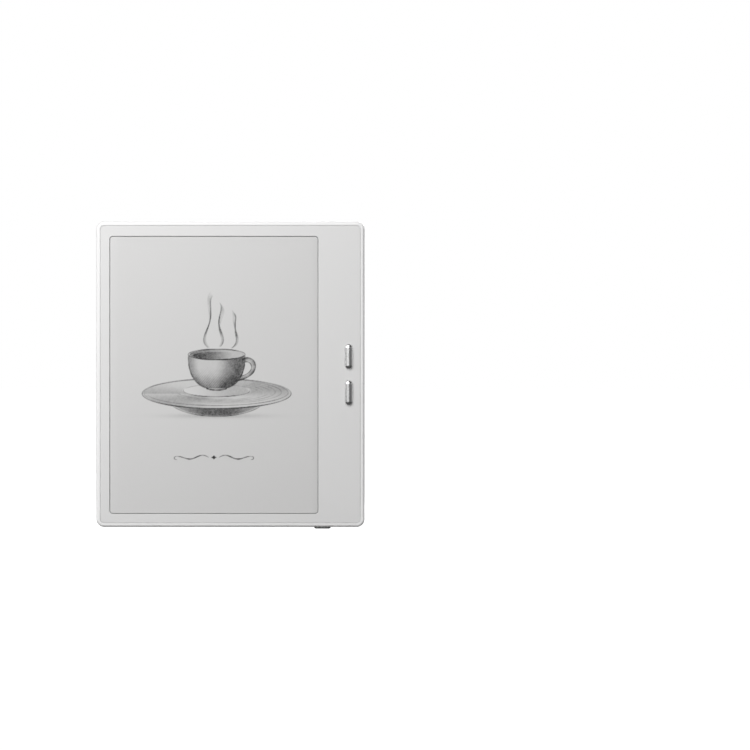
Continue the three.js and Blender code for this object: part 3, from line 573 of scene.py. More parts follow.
LOOKS = {
    "shell": moulded("shell_plastic", grey(ALBEDO["shell"], 0.003), 0.4, 0.02),
    "bezel": moulded("bezel_plastic", grey(ALBEDO["bezel"], 0.004), 0.5, 0.015, 0.000012, 3200),
    "grained_panel": leather(),
    "screen": paper_screen(),
    "clear_sheet": clear_sheet(),
    "foam": foam(),
    "flex_circuit": flex_circuit(),
    "paper_panel": paper_panel(),
    "plate_metal": metal("plate_metal", (0.46, 0.47, 0.48), 0.42, (1, 1, 30)),
    "key_metal": metal("key_metal", (0.86, 0.86, 0.86), 0.15, (40, 40, 1), 0.04, 0.0000015),
    "dark_plastic": moulded("dark_plastic", (0.02, 0.02, 0.022), 0.5, 0.2),
    "white_plastic": moulded("white_plastic", grey(0.75), 0.45, 0.04),
    "steel": metal("steel", (0.62, 0.63, 0.64), 0.28, (1, 30, 30)),
    "circuit_board": circuit_board(),
    "chip": chip(),
    "rubber": moulded("rubber", (0.02, 0.02, 0.02), 0.85, 0.3, 0.00003, 1800),
    "battery_pouch": pouch(),
    "red_wire": wire_sleeve("red_wire", (0.42, 0.02, 0.015)),
    "black_wire": wire_sleeve("black_wire", (0.016, 0.016, 0.017)),
    "mesh_fabric": mesh_fabric(),
    "gold": metal("contact_gold", (0.83, 0.6, 0.27), 0.25, (20, 1, 1)),
}


def dress_frame():
    """Gives every CAD node its slot's finish. Nodes with a finer piece are hidden later."""
    slots = {row["node"]: row["material_slot"] for row in frame["record"]["subparts"]}
    for node, obj in NODES.items():
        obj.data.materials.clear()
        obj.data.materials.append(LOOKS[slots[node]])
        for face in obj.data.polygons:
            face.material_index = 0


# ---------------------------------------------------------------- the case


def crown(x, z):
    """Depth of the back's surface at a point, falling away smoothly towards the edges."""
    reach = CROWN_WIDTH - EDGE_BACK
    side_x = np.maximum(np.abs(x) - (OUTLINE.right - CROWN_WIDTH), 0) / reach
    middle, half = (OUTLINE.top + OUTLINE.bottom) / 2, (OUTLINE.top - OUTLINE.bottom) / 2
    side_z = np.maximum(np.abs(z - middle) - (half - CROWN_WIDTH), 0) / reach
    return BACK - CROWN_DEPTH * (side_x ** 8 + side_z ** 8) ** 0.25


def crown_inset(inset):
    """Depth of the back's surface at an inset from the outline."""
    return BACK - CROWN_DEPTH * (max(CROWN_WIDTH - inset, 0) / (CROWN_WIDTH - EDGE_BACK)) ** 2


def shell_rows():
    """The shell from the cavity's floor, out over the rim and round to the back pockets' floor."""
    lip, floor_round, seam = 0.08, 0.4, 0.06
    ledge = BEZEL_BACK + 0.03
    edge = PANEL_INSET - GAP - seam
    rows = [(WALL + out, CAVITY_BACK - along) for out, along in quarter(4, floor_round)]
    rows += [(WALL, ledge), (RIM, ledge)]
    rows += [(RIM - along, FRONT + out) for out, along in quarter(4, lip)]
    rows += [(inset, FRONT + along) for inset, along in quarter(12, EDGE_FRONT)]
    rows += [(inset, SHOULDER - RIM_ROUND + rise) for inset, rise in quarter(12, RIM_ROUND, rising=False)]
    rows.append((edge, SHOULDER))
    rows += [(edge + seam - out, SHOULDER - along) for out, along in quarter(3, seam)]
    for inset in (edge + seam, 2.5, 4.0, 6.0, CROWN_WIDTH):
        rows.append((inset, crown_inset(max(inset, EDGE_BACK)) - POCKET))
    return [(OUTLINE.inset(inset), y) for inset, y in rows]


def groove_bridge(end):
    """The shell's fork between the two panels' round corners, at the top (+1) or bottom (-1)."""
    run, overlap, steps = 2.1, 0.4, 8
    below_crown, below_shoulder, into_floor = 0.02, 0.05, 0.3
    rim_z = (OUTLINE.top if end > 0 else OUTLINE.bottom) - end * (PANEL_INSET - GAP)
    half, radius = GROOVE_HALF - GAP, GROOVE_CORNER + GAP
    side = [(half + radius, -overlap)]
    side += [(half + out, along) for out, along in quarter(steps, radius)]
    side.append((half, run))
    points = side + [(-across, down) for across, down in reversed(side)]
    outline = [(GROOVE_X + across, rim_z - end * down) for across, down in points]
    count = len(outline)
    top = [(x, float(crown(x, z)) - below_crown, z) for x, z in outline]
    for i in (0, count - 1):
        top[i] = (top[i][0], SHOULDER - below_shoulder, top[i][2])
    foot = [(x, CAVITY_BACK + into_floor, z) for x, z in outline]
    faces = [tuple(range(count)), tuple(range(count, 2 * count))]
    faces += [(i, (i + 1) % count, count + (i + 1) % count, count + i) for i in range(count)]
    return solid(top + foot, faces)


def screw_places():
    """(x, z, front of its post) of every screw: its head's back is level with what it holds."""
    for node in sorted(NODES):
        if "_screw_" in node:
            x, z = Box(node).face(1).middle
            yield x, z, SEATS[node.split("_")[0]]


def round_outline(y, z, radius):
    return lambda grow: circle(y, z, radius + grow, 28)


def rect_outline(rect):
    return lambda grow: ring(rect.inset(-grow), 8)


def port_tools():
    """Every opening in the right side and the bottom, each with a rounded mouth."""
    through, side = WALL + 1, BODY.right
    slot = USB_OUTLINE.inset(-PORT_GAP)
    power = pill(POWER_X, POWER_Y, POWER_WIDTH + 2 * GAP, POWER_DEPTH + 2 * GAP)
    tools = [
        mouth("x", rect_outline(slot), side, through, 0.16, 1),
        mouth("x", rect_outline(TRAY_FACE.inset(-GAP)), side, through, 0.1, 1),
        mouth("z", rect_outline(power), BODY.bottom, through, 0.1, -1),
    ]
    for i in range(DOT_COUNT):
        outline = round_outline(PORT_Y, DOT_FIRST - i * DOT_PITCH, DOT_RADIUS)
        tools.append(mouth("x", outline, side, through if i == DOT_OPEN else DOT_DEPTH, 0.07, 1))
    for i in range(GRILLE_COUNT):
        outline = round_outline(PORT_Y, GRILLE_FIRST + i * GRILLE_PITCH, GRILLE_RADIUS)
        tools.append(mouth("x", outline, side, through, 0.08, 1))
    return tools


def make_shell():
    into_floor, through, half_groove = 0.3, 1, 0.4
    shell = loft_rects("y", shell_rows(), 14)
    joins, cuts = [], []
    for x, z, front in screw_places():
        joins.append(drum("y", x, z, POST_RADIUS, front, CAVITY_BACK + into_floor))
        cuts.append(drum("y", x, z, SCREW_RADIUS, front - through, front + SCREW_DEPTH))
    for z in (OUTLINE.top, OUTLINE.bottom):
        left, right = GROOVE_X - half_groove, GROOVE_X + half_groove
        cuts.append(block(left, right, SHOULDER - POCKET, BACK, z - POCKET, z + POCKET))
    joins += [groove_bridge(1), groove_bridge(-1)]
    combine(shell, cuts + port_tools(), joins)
    finish_piece(shell, "case_shell", "case", "shell", ["back_shell"])


def bezel_tabs():
    """Snap tabs on the bezel's back, near its edges."""
    reach, overlap = WALL + TAB_INSET, 0.2
    long, thin = TAB_LENGTH / 2, TAB_THICKNESS / 2
    places = [(BODY.left + reach, z, thin, long) for z in TABS["left"]]
    places += [(BODY.right - reach, z, thin, long) for z in TABS["right"]]
    places += [(x, BODY.top - reach, long, thin) for x in TABS["top"]]
    places += [(x, BODY.bottom + reach, long, thin) for x in TABS["bottom"]]
    front, back = BEZEL_BACK - overlap, BEZEL_BACK + TAB_DEPTH
    return [block(x - a, x + a, front, back, z - b, z + b) for x, z, a, b in places]


def make_bezel():
    edge, sill, slot_depth = 0.1, 0.22, 3
    outer = OUTLINE.inset(RIM + GAP)
    rows = [(outer, BEZEL_BACK)]
    rows += [(outer.inset(along), BEZEL.front + out) for out, along in quarter(4, edge)]
    rows += [(WINDOW.inset(-out), BEZEL.front + along) for out, along in quarter(6, sill)]
    rows += [(WINDOW, BEZEL_BACK)]
    bezel = loft_rects("y", rows, 12, closed=True)
    slots = []
    for box in PAGE_KEYS.values():
        seat = pill(*box.face(1).middle, KEY_WIDTH + 2 * GAP, KEY_LENGTH + 2 * GAP)
        slots.append(mouth("y", rect_outline(seat), BEZEL.front, slot_depth, 0.13, -1))
    combine(bezel, slots, bezel_tabs())
    finish_piece(bezel, "case_bezel", "case", "bezel", ["front_bezel"])


# ---------------------------------------------------------------- sheets with a fine surface


def steps_between(start, stop, step):
    return np.linspace(start, stop, max(int(round((stop - start) / step)), 1) + 1)


def corner_rise(radius, steps):
    """Heights of the points round a corner, from its start."""
    return radius * (1 - np.cos(np.linspace(0, math.pi / 2, steps + 1)))


def corner_rows(bottom, top, radius, step):
    """Heights of a sheet's rows: close together in the round corners, even between them."""
    rise = corner_rise(radius, 10)
    between = steps_between(bottom + radius, top - radius, step)[1:-1]
    return np.concatenate([bottom + rise, between, (top - rise)[::-1]])


def side_reach(z, bottom, top, radius):
    """How far a round corner of this radius pulls a side in at each height."""
    over = np.maximum(np.maximum(bottom + radius - z, z - (top - radius)), 0)
    return radius - np.sqrt(np.maximum(radius ** 2 - over ** 2, 0))


def sheet(rect, left_radius, right_radius, rows, columns, surface, base_at, edge, outwards):
    """A thin closed sheet. Rows are heights, columns run from 0 to 1 across, surface(x, z) is its
    face, base_at(x, z) its other side, and edge the radius of the round at its border. Outwards is
    +1 for a face towards +Y and -1 for one towards -Y."""

    def grid(inset):
        share = (rows - rect.bottom) / (rect.top - rect.bottom)
        z = rect.bottom + inset + share * (rect.top - rect.bottom - 2 * inset)
        low, high = rect.bottom + inset, rect.top - inset
        left = rect.left + inset + side_reach(z, low, high, max(left_radius - inset, 0.05))
        right = rect.right - inset - side_reach(z, low, high, max(right_radius - inset, 0.05))
        x = left[:, None] + columns[None, :] * (right - left)[:, None]
        return x, np.repeat(z[:, None], len(columns), 1)

    def points(inset, depth_at):
        px, pz = grid(inset)
        return np.stack([px, depth_at(px, pz), pz], -1).reshape(-1, 3)

    index = np.arange(len(rows) * len(columns)).reshape(len(rows), -1)
    loop = np.concatenate([index[0, :-1], index[:-1, -1], index[-1, :0:-1], index[:0:-1, 0]])
    top = points(edge, surface)
    rings = []
    for out, along in quarter(4, edge)[1:]:
        rings.append(points(out, surface)[loop] - (0, outwards * along, 0))
    for inset in (0, 1.2, 3.5):
        rings.append(points(inset, base_at)[loop])
    a, b, c, d = index[:-1, :-1], index[:-1, 1:], index[1:, 1:], index[1:, :-1]
    faces = np.stack([a, b, c, d], -1).reshape(-1, 4).tolist()
    before = loop
    for i in range(len(rings)):
        here = len(top) + i * len(loop) + np.arange(len(loop))
        faces += np.stack([before, here, np.roll(here, -1), np.roll(before, -1)], -1).tolist()
        before = here
    faces.append(before.tolist())
    return solid(np.concatenate([top, *rings]), faces), top


SHEET_STEP = 0.42
GRAIN_DEPTH, GRAIN_MARGIN, PANEL_BASE = 0.02, 0.03, 0.34


def make_back_panels():
    """The grained panels follow the crown, with their grain as real relief."""

    def surface(x, z):
        return crown(x, z) - GRAIN_MARGIN + GRAIN_DEPTH * grain(x, z)

    def base(x, z):
        return crown(x, z) - PANEL_BASE

    outer = OUTLINE.radius - PANEL_INSET
    panels = {
        "back_grain_main": (MAIN_PANEL, outer, GROOVE_CORNER, "back_panel"),
        "back_grain_grip": (GRIP_PANEL, GROOVE_CORNER, outer, "grip_panel"),
    }
    for name, (box, left_radius, right_radius, node) in panels.items():
        rect = box.face(1)
        rows = corner_rows(rect.bottom, rect.top, outer, SHEET_STEP)
        columns = (steps_between(rect.left, rect.right, SHEET_STEP) - rect.left) / (rect.right - rect.left)
        panel, _ = sheet(rect, left_radius, right_radius, rows, columns, surface, base, 0.1, 1)
        finish_piece(panel, name, "case", "grained_panel", [node], smooth_angle=40, weighted=False)


# ---------------------------------------------------------------- the drawing on the screen


def bezier(*points, count=48):
    """Points along a Bezier curve of any degree."""
    t = np.linspace(0, 1, count)[:, None]
    degree = len(points) - 1
    curve = np.zeros((count, 2))
    for i, point in enumerate(points):
        curve += math.comb(degree, i) * t ** i * (1 - t) ** (degree - i) * np.array(point, float)
    return curve


def oval(across, up, half_w, half_h, start=0.0, stop=360.0):
    angle = np.radians(np.linspace(start, stop, 120))
    return np.stack([across + half_w * np.cos(angle), up + half_h * np.sin(angle)], -1)


class Drawing:
    """Ink from 0 to 1 over points in millimetres, built up from soft pencil strokes and tones."""

    def __init__(self, x, z):
        self.x, self.z = x, z
        self.ink = np.zeros_like(x)

    def lay(self, ink):
        self.ink = 1 - (1 - self.ink) * (1 - np.clip(ink, 0, 1))

    def stroke(self, line, width, dark, taper=True):
        """A line that thins towards its ends and varies a little with the pencil's pressure."""
        soft = 0.2
        reach = width + soft + 0.1
        low, high = line.min(0) - reach, line.max(0) + reach
        near = (self.x > low[0]) & (self.x < high[0]) & (self.z > low[1]) & (self.z < high[1])
        if not near.any():
            return
        point = np.stack([self.x[near], self.z[near]], -1)
        best = np.full(len(point), np.inf)
        along = np.zeros(len(point))
        for i in range(len(line) - 1):
            run = line[i + 1] - line[i]
            length = max(float(run @ run), 1e-9)
            t = np.clip(((point - line[i]) @ run) / length, 0, 1)
            away = np.hypot(*(point - line[i] - t[:, None] * run).T)
            closer = away < best
            best[closer] = away[closer]
            along[closer] = (i + t[closer]) / (len(line) - 1)
        press = 0.25 + 0.75 * np.sin(np.pi * along) ** 0.5 if taper else 1.0
        press = press * (0.85 + 0.15 * np.sin(along * 23.0))
        ink = np.zeros_like(self.ink)
        ink[near] = dark * press * np.clip((width * press / 2 + soft - best) / soft, 0, 1)
        self.lay(ink)

    def tone(self, dark, hatch=0.0, angle=0.6, spacing=0.8):
        """A soft tone, broken by hatching at an angle in radians."""
        lines = np.sin((self.x * math.cos(angle) + self.z * math.sin(angle)) * 2 * np.pi / spacing)
        self.lay(dark * (1 - hatch * (0.5 + 0.5 * lines)))


def smooth(value, low, high):
    t = np.clip((value - low) / (high - low), 0, 1)
    return t * t * (3 - 2 * t)


CUP = {"rim": 17.0, "half": 14.5, "lip": 2.7, "foot": 4.6, "depth": 17.4}
MOUTH = (0, CUP["rim"], CUP["half"], CUP["lip"])         # ovals: middle across and up, half sizes
SAUCER, WELL, UNDERSIDE = (0, -3.0, 38.0, 7.6), (0, -1.5, 17.0, 3.1), (0, -5.2, 25.0, 9.4)


def within(d, across, up, half_w, half_h):
    """Below 1 inside an oval and above 1 outside it."""
    return np.hypot((d.x - across) / half_w, (d.z - up) / half_h)


def draw_saucer(d):
    outer, well, below = within(d, *SAUCER), within(d, *WELL), within(d, *UNDERSIDE)
    dish = smooth(outer, 1.0, 0.97) * smooth(well, 1.0, 1.05)
    swing = 0.5 + 0.5 * np.sin(2.2 * np.arctan2(d.z + 3.0, d.x * 0.22) + 0.7)
    d.tone(dish * (0.06 + 0.3 * swing ** 2), 0.35, 0.25, 0.7)
    d.tone(smooth(well, 1.04, 0.9) * 0.22 * smooth(d.x, -16, 12))
    under = smooth(below, 1.0, 0.93) * smooth(outer, 0.985, 1.01) * smooth(d.z, -2.0, -3.5)
    d.tone(under * (0.82 - 0.45 * smooth(np.abs(d.x), 4, 22)), 0.22, 0.9, 0.62)
    shadow = np.exp(-within(d, 0, -14.4, 22.0, 1.1) ** 2)
    d.tone(0.26 * shadow, 0.3, 0.1, 0.5)
    d.stroke(oval(*SAUCER, -200, 20), 0.42, 0.85)
    d.stroke(oval(*SAUCER, 15, 165), 0.28, 0.62)
    d.stroke(oval(0.3, -2.5, 36.2, 6.6, -170, 40), 0.22, 0.5)
    d.stroke(oval(-0.4, -2.7, 36.8, 7.0, 40, 200), 0.2, 0.42)
    for k in range(5):
        half = 20.0 + 3.1 * k
        start = 190 + 17 * k
        d.stroke(oval(0.2 * k, -2.2, half, half * 0.18, start, start + 105 + 9 * k), 0.16, 0.38 - 0.03 * k)
        d.stroke(oval(-0.2 * k, -2.1, half + 1.2, half * 0.185, 12 - 5 * k, 70 + 4 * k), 0.15, 0.3)
    d.stroke(oval(*WELL, -190, 10), 0.3, 0.66)
    d.stroke(oval(*WELL, 20, 160), 0.2, 0.4)
    d.stroke(oval(*UNDERSIDE, -158, -22), 0.3, 0.75)


def cup_half(z):
    """Half the cup's width at a height, and how far down from the rim that is, from 0 to 1."""
    drop = np.clip((CUP["rim"] - z) / CUP["depth"], 0, 1)
    return CUP["foot"] + (CUP["half"] - CUP["foot"]) * (1 - drop ** 2.6) ** 0.62, drop


def draw_cup(d):
    half, drop = cup_half(d.z)
    lip = within(d, *MOUTH)
    side = d.x / half
    below_rim = d.z < CUP["rim"]
    body = smooth(np.abs(side), 1.01, 0.985) * smooth(d.z, -0.7, -0.2) * (below_rim & (lip > 1.0))
    hidden = smooth(np.abs(side), 1.03, 1.0) * (below_rim & (d.z > -0.4))
    d.ink = d.ink * (1 - 0.97 * np.maximum(hidden, smooth(lip, 1.02, 0.98)))
    shade = 0.1 + 0.78 * smooth(side, -0.1, 0.85) - 0.25 * smooth(side, 0.88, 1.0)
    shade = shade + 0.42 * smooth(side, -0.62, -1.0) + 0.4 * smooth(drop, 0.55, 1.0)
    d.tone(body * np.clip(shade, 0, 0.93), 0.3, 1.1, 0.66)
    d.tone(body * 0.28 * smooth(drop, 0.3, 0.9), 0.8, -0.7, 0.9)
    tea = within(d, 0, CUP["rim"] - 0.5, CUP["half"] * 0.86, CUP["lip"] * 0.7)
    d.tone(smooth(lip, 0.97, 0.93) * (0.16 + 0.5 * smooth(-d.x, -9, 12)), 0.25, 0.15, 0.6)
    d.tone(smooth(tea, 1.0, 0.94) * 0.55 * smooth(d.x, 11, -9))
    d.stroke(oval(*MOUTH, -185, 5), 0.46, 0.92)
    d.stroke(oval(*MOUTH, -5, 185), 0.36, 0.8)
    d.stroke(oval(0, CUP["rim"] - 0.35, CUP["half"] - 0.8, CUP["lip"] - 0.45, 150, 380), 0.2, 0.5)
    heights = np.linspace(CUP["rim"] - 0.6, 0.0, 40)
    profile, _ = cup_half(heights)
    d.stroke(np.stack([-profile, heights], -1), 0.34, 0.82)
    d.stroke(np.stack([profile, heights], -1), 0.42, 0.95)
    d.stroke(oval(0, -0.2, CUP["foot"] + 0.5, 1.0, 180, 360), 0.5, 0.95, taper=False)


def draw_handle(d):
    outside = bezier((13.2, 14.6), (19.5, 18.2), (24.2, 8.4), (17.5, 4.6), (8.8, 3.2))
    inside = bezier((13.4, 12.6), (17.6, 15.4), (20.8, 8.8), (16.2, 6.4), (10.3, 5.4))
    for share in np.linspace(0.15, 0.85, 5):
        d.stroke(outside * share + inside * (1 - share), 0.5, 0.12 + 0.4 * share ** 2, taper=False)
    d.stroke(outside, 0.36, 0.85, taper=False)
    d.stroke(inside, 0.28, 0.7, taper=False)


def draw_steam(d):
    wisps = [
        ((-4.5, 20.5), (-13.0, 27.0), (3.5, 33.0), (-6.5, 41.0), (-2.0, 47.0)),
        ((2.0, 21.0), (8.5, 27.5), (-5.5, 31.5), (5.5, 38.5), (1.5, 43.5)),
        ((7.5, 20.2), (14.0, 25.0), (4.0, 29.5), (12.0, 34.5), (9.0, 38.0)),
    ]
    for side, wisp in zip((1, -1, 1), wisps):
        line = bezier(*wisp, count=64)
        for twist in range(5):
            sway = np.stack([
                (0.35 + 0.25 * twist) * np.sin(np.linspace(0.2 * twist, 3.2 + 0.5 * twist, 64)),
                np.linspace(0, 0.5 * twist, 64),
            ], -1)
            d.stroke(line + sway * side, 0.26 - 0.035 * twist, 0.66 - 0.11 * twist)


def draw_flourish(d):
    """A plain ornamental rule: two mirrored waves about a small lozenge."""
    level, middle, start, run = -35.6, -1.4, 2.6, 16.6
    share = np.linspace(0, 1, 80)
    wave = 1.25 * np.sin(share * 2.5 * np.pi) * (1 - 0.55 * share)
    for side in (-1, 1):
        across = middle + side * (start + run * share)
        d.stroke(np.stack([across, level + wave], -1), 0.42, 0.92)
        end = across[-1]
        d.stroke(bezier((end, level + wave[-1]), (end + side * 1.6, level + 0.4),
                        (end + side * 1.4, level - 1.3), (end - side * 0.4, level - 1.1)), 0.26, 0.8)
    away = np.abs(d.x - middle) / 1.3 + np.abs(d.z - level) / 1.0
    d.tone(smooth(away, 1.12, 0.88) * 0.9)


ART = Rect(-41.0, 41.0, -39.0, 50.0, 0)  # the drawing's reach about its middle
ART_ACROSS, ART_UP = 0.513, 0.454        # its middle's place on the screen, as shares of it
ART_STEP, PLAIN_STEP = 0.28, 4.0
INK_DEPTH = 1.5                          # above 1, dark strokes close up towards black


def make_screen():
    """The cover sheet, with a fine grid where the drawing is and the ink as a mesh attribute."""
    face = COVER.face(COVER_CORNER)
    width, height = face.right - face.left, face.top - face.bottom
    middle_x, middle_z = face.left + ART_ACROSS * width, face.bottom + ART_UP * height
    rise = corner_rise(face.radius, 8)
    low, high = middle_z + ART.bottom, middle_z + ART.top
    rows = np.concatenate([
        face.bottom + rise,
        steps_between(face.bottom + face.radius, low, PLAIN_STEP)[1:-1],
        steps_between(low, high, ART_STEP),
        steps_between(high, face.top - face.radius, PLAIN_STEP)[1:-1],
        (face.top - rise)[::-1],
    ])
    left, right = middle_x + ART.left, middle_x + ART.right
    across = np.concatenate([
        steps_between(face.left, left, PLAIN_STEP)[:-1],
        steps_between(left, right, ART_STEP),
        steps_between(right, face.right, PLAIN_STEP)[1:],
    ])
    columns = (across - face.left) / width

    def front(x, z):
        return np.full_like(x, COVER.front)

    def back(x, z):
        return np.full_like(x, COVER.back)

    cover, points = sheet(face, face.radius, face.radius, rows, columns, front, back, 0.07, -1)
    x, z = points[:, 0], points[:, 2]
    d = Drawing(x - middle_x, z - middle_z)
    for draw in (draw_steam, draw_saucer, draw_cup, draw_handle, draw_flourish):
        draw(d)
    grit = 1 + 0.16 * noise(x, z, 0.45, 21) + 0.1 * noise(x, z, 1.3, 22)
    ink = np.zeros(len(cover.data.vertices), np.float32)
    ink[:len(points)] = 1 - (1 - np.clip(d.ink * grit, 0, 1)) ** INK_DEPTH
    cover.data.attributes.new("ink", "FLOAT", "POINT").data.foreach_set("value", ink)
    finish_piece(cover, "screen_sheet", "case", "screen", ["display_cover"], smooth_angle=40, weighted=False)


# ---------------------------------------------------------------- keys


def domed_key(axis, key, dome, top, foot, flange, flange_back):
    """A pill-shaped key with a domed top, on a flange. Depths run inwards along the axis, from its
    top, to the foot where its flange starts and the back of the flange."""
    edge, steps, flattest = 0.08, 22, 0.03
    rows = []
    for i in range(steps + 1):
        share = math.sin(math.pi / 2 * (flattest + (1 - flattest) * i / steps))
        inset = min(key.right - key.left, key.top - key.bottom) / 2 * (1 - share)
        outline = pill(*key.middle, key.right - key.left - 2 * inset, key.top - key.bottom - 2 * inset)
        rows.append((outline, top + dome * (1 - math.sqrt(max(1 - share ** 2, 0)))))
    wide = key.inset(-flange)
    rows += [(key, foot), (wide.inset(edge), foot), (wide, foot + edge)]
    rows += [(wide, flange_back - edge), (wide.inset(edge), flange_back)]
    return loft_rects(axis, rows, 14)


def make_page_keys():
    for body, box in PAGE_KEYS.items():
        outline = pill(*box.face(1).middle, KEY_WIDTH, KEY_LENGTH)
        key = domed_key("y", outline, KEY_DOME, box.front, BEZEL_BACK + FLANGE_SEAT, KEY_FLANGE, box.back)
        finish_piece(key, f"{body}_cap", body, "key_metal", [f"{body}_key"])


def make_power_key():
    outline = pill(POWER_X, POWER_Y, POWER_WIDTH, POWER_DEPTH)
    foot = BODY.bottom + WALL + FLANGE_SEAT
    key = domed_key("z", outline, POWER_DOME, POWER.bottom, foot, POWER_FLANGE, POWER.top)
    finish_piece(key, "power_cap", "power", "key_metal", ["power_key"])


# ---------------------------------------------------------------- charging port and card tray


def make_usb():
    """The port's metal sleeve, rolled over at its mouth."""
    wall, roll = 0.3, 0.12
    inner = USB_OUTLINE.inset(wall)
    rows = [(USB_OUTLINE, USB.left), *rolled(USB_OUTLINE, USB.right, roll)]
    rows += [(inner.inset(out - roll), USB.right - along) for out, along in quarter(5, roll)]
    rows += [(inner, USB.left)]
    shell = loft_rects("x", rows, 12, closed=True)
    finish_piece(shell, "usb_sleeve", "case", "steel", ["usb_shell"])


def join_objects(objects):
    """Separate solids as one object."""
    work = bmesh.new()
    for obj in objects:
        work.from_mesh(obj.data)
        bpy.data.objects.remove(obj)
    mesh = bpy.data.meshes.new("joined")
    work.to_mesh(mesh)
    work.free()
    made = bpy.data.objects.new("joined", mesh)
    bpy.context.scene.collection.objects.link(made)
    return made


def make_tongue():
    """The tongue keeps its base, with a rounded tip and gold-plated contact strips on both sides."""
    half_y, half_z, base_length, edge, roll = 0.35, 3.35, 1.2, 0.1, 0.12
    middle_y, middle_z = PORT_Y, (TONGUE.bottom + TONGUE.top) / 2
    root = pill(middle_y, middle_z, TONGUE.back - TONGUE.front, TONGUE.top - TONGUE.bottom)
    base = TONGUE.left + base_length
    blade = Rect(middle_y - half_y, middle_y + half_y, middle_z - half_z, middle_z + half_z, 0.15)
    rows = [(root, TONGUE.left), (root, base - edge), (root.inset(edge), base), (blade, base)]
    tongue = loft_rects("x", rows + rolled(blade, TONGUE.right, roll, 4), 8)
    finish_piece(tongue, "usb_blade", "case", "dark_plastic", ["usb_tongue"])

    proud, half_width, from_base, from_tip = 0.02, 0.13, 0.6, 0.7
    left, right = base + from_base, TONGUE.right - from_tip
    strips = []
    for y in (middle_y - half_y, middle_y + half_y):
        for i in range(CONTACTS):
            z = middle_z + (i - (CONTACTS - 1) / 2) * CONTACT_PITCH
            strips.append(block(left, right, y - proud, y + proud, z - half_width, z + half_width))
    finish_piece(join_objects(strips), "usb_contacts", "case", "steel", look="gold")


def plate(outline, front, back, edge, steps):
    """An upright plate with its edges taken off."""
    rows = [(outline.inset(edge), front), (outline, front + edge)]
    return loft_rects("y", rows + [(outline, back - edge), (outline.inset(edge), back)], steps)


def make_tray():
    """The tray's end plate with its pinhole, and the thin frame behind it that holds a card."""
    end_depth, edge, roll, overlap, through = 1.6, 0.05, 0.12, 0.2, 1
    front, back, rail, end_rail = TRAY.front + 1.25, TRAY.front + 2.05, 0.7, 2
    low, high = TRAY.bottom + 0.5, TRAY.bottom + 13
    hole_z, hole_radius, hole_depth, hole_edge = TRAY.top - 0.8, 0.55, 3, 0.08
    inner = TRAY.right - end_depth
    rows = [(TRAY_FACE.inset(edge), inner), (TRAY_FACE, inner + edge)]
    end = loft_rects("x", rows + rolled(TRAY_FACE, TRAY.right, roll), 10)
    outline = Rect(TRAY.left, inner + overlap, low, high, 0.6)
    left, right = outline.left + rail, outline.right - end_rail
    pocket = Rect(left, right, outline.bottom + rail, outline.top - rail, 0.5)
    opening = loft_rects("y", [(pocket, front - through), (pocket, back + through)], 6)
    card_frame = combine(plate(outline, front, back, 0.06, 6), [opening])
    pinhole = round_outline((TRAY.front + TRAY.back) / 2, hole_z, hole_radius)
    combine(end, [mouth("x", pinhole, TRAY.right, hole_depth, hole_edge, 1)], [card_frame])
    finish_piece(end, "tray_drawer", "tray", "shell", ["card_tray"])


# ---------------------------------------------------------------- light, floor and camera


SKY_ACROSS = [
    (0.0, 0.28), (0.13, 0.28), (0.22, 0.16), (0.38, 0.16), (0.46, 0.4), (0.53, 1.0), (0.78, 1.0), (1.0, 0.35),
]
SKY_UP = [(0.0, 0.1), (0.42, 0.25), (0.48, 1.0), (0.57, 1.0), (0.68, 0.4), (1.0, 0.12)]
SKY_STRENGTH = 1.44
SKY_TURN = 4.0                           # how fast left and right change over from front to back
FLOOR_REACH = 30000.0
FLOOR_GLOW, FLOOR_TONE, FLOOR_DIM, FLOOR_MIRRORED = 0.97, 0.3, 0.2, 0.08
FRONT_WATTS, BACK_WATTS = 5.7, 5.0
LENS, SENSOR = 300, 36
VIEW_WIDTH = 383.0                       # width of what the camera sees at the screen's face
CAMERA_RIGHT, CAMERA_DROP = 73.85, 0.4   # the reader stands left of the middle of the picture


def sky():
    """White to the camera, and a studio to everything else: bright on the viewer's left and above,
    with a darker stretch a little to the right, from the front and from the back alike."""
    world = bpy.data.worlds.new("studio")
    bpy.context.scene.world = world
    world.use_nodes = True
    n = Nodes(world.node_tree)

    def ramp(value, stops):
        """Stops are (place, level) pairs, both from 0 to 1."""
        node = n.add("ShaderNodeValToRGB", {0: value})
        colours = node.color_ramp
        colours.interpolation = "EASE"
        while len(colours.elements) < len(stops):
            colours.elements.new(0.5)
        for element, (at, level) in zip(colours.elements, stops):
            element.position = at
            element.color = (level, level, level, 1)
        return node.outputs[0]

    place = n.add("ShaderNodeTexCoord").outputs["Generated"]
    direction = n.add("ShaderNodeSeparateXYZ", {0: place}).outputs
    facing = n.math("MAXIMUM", n.math("MULTIPLY", direction["Y"], SKY_TURN), -1.0)
    sideways = n.math("MULTIPLY", direction["X"], n.math("MINIMUM", facing, 1.0))
    across = ramp(n.math("MULTIPLY_ADD", sideways, 0.5, 0.5), SKY_ACROSS)
    up = ramp(n.math("MULTIPLY_ADD", direction["Z"], 0.5, 0.5), SKY_UP)
    level = n.math("MULTIPLY", across, up)
    studio = n.add("ShaderNodeBackground", {"Color": level, "Strength": SKY_STRENGTH}).outputs[0]
    plain = n.add("ShaderNodeBackground", {"Color": (1, 1, 1, 1)}).outputs[0]
    seen = n.add("ShaderNodeLightPath").outputs["Is Camera Ray"]
    n.add("ShaderNodeOutputWorld", {0: n.choose(seen, studio, plain)})


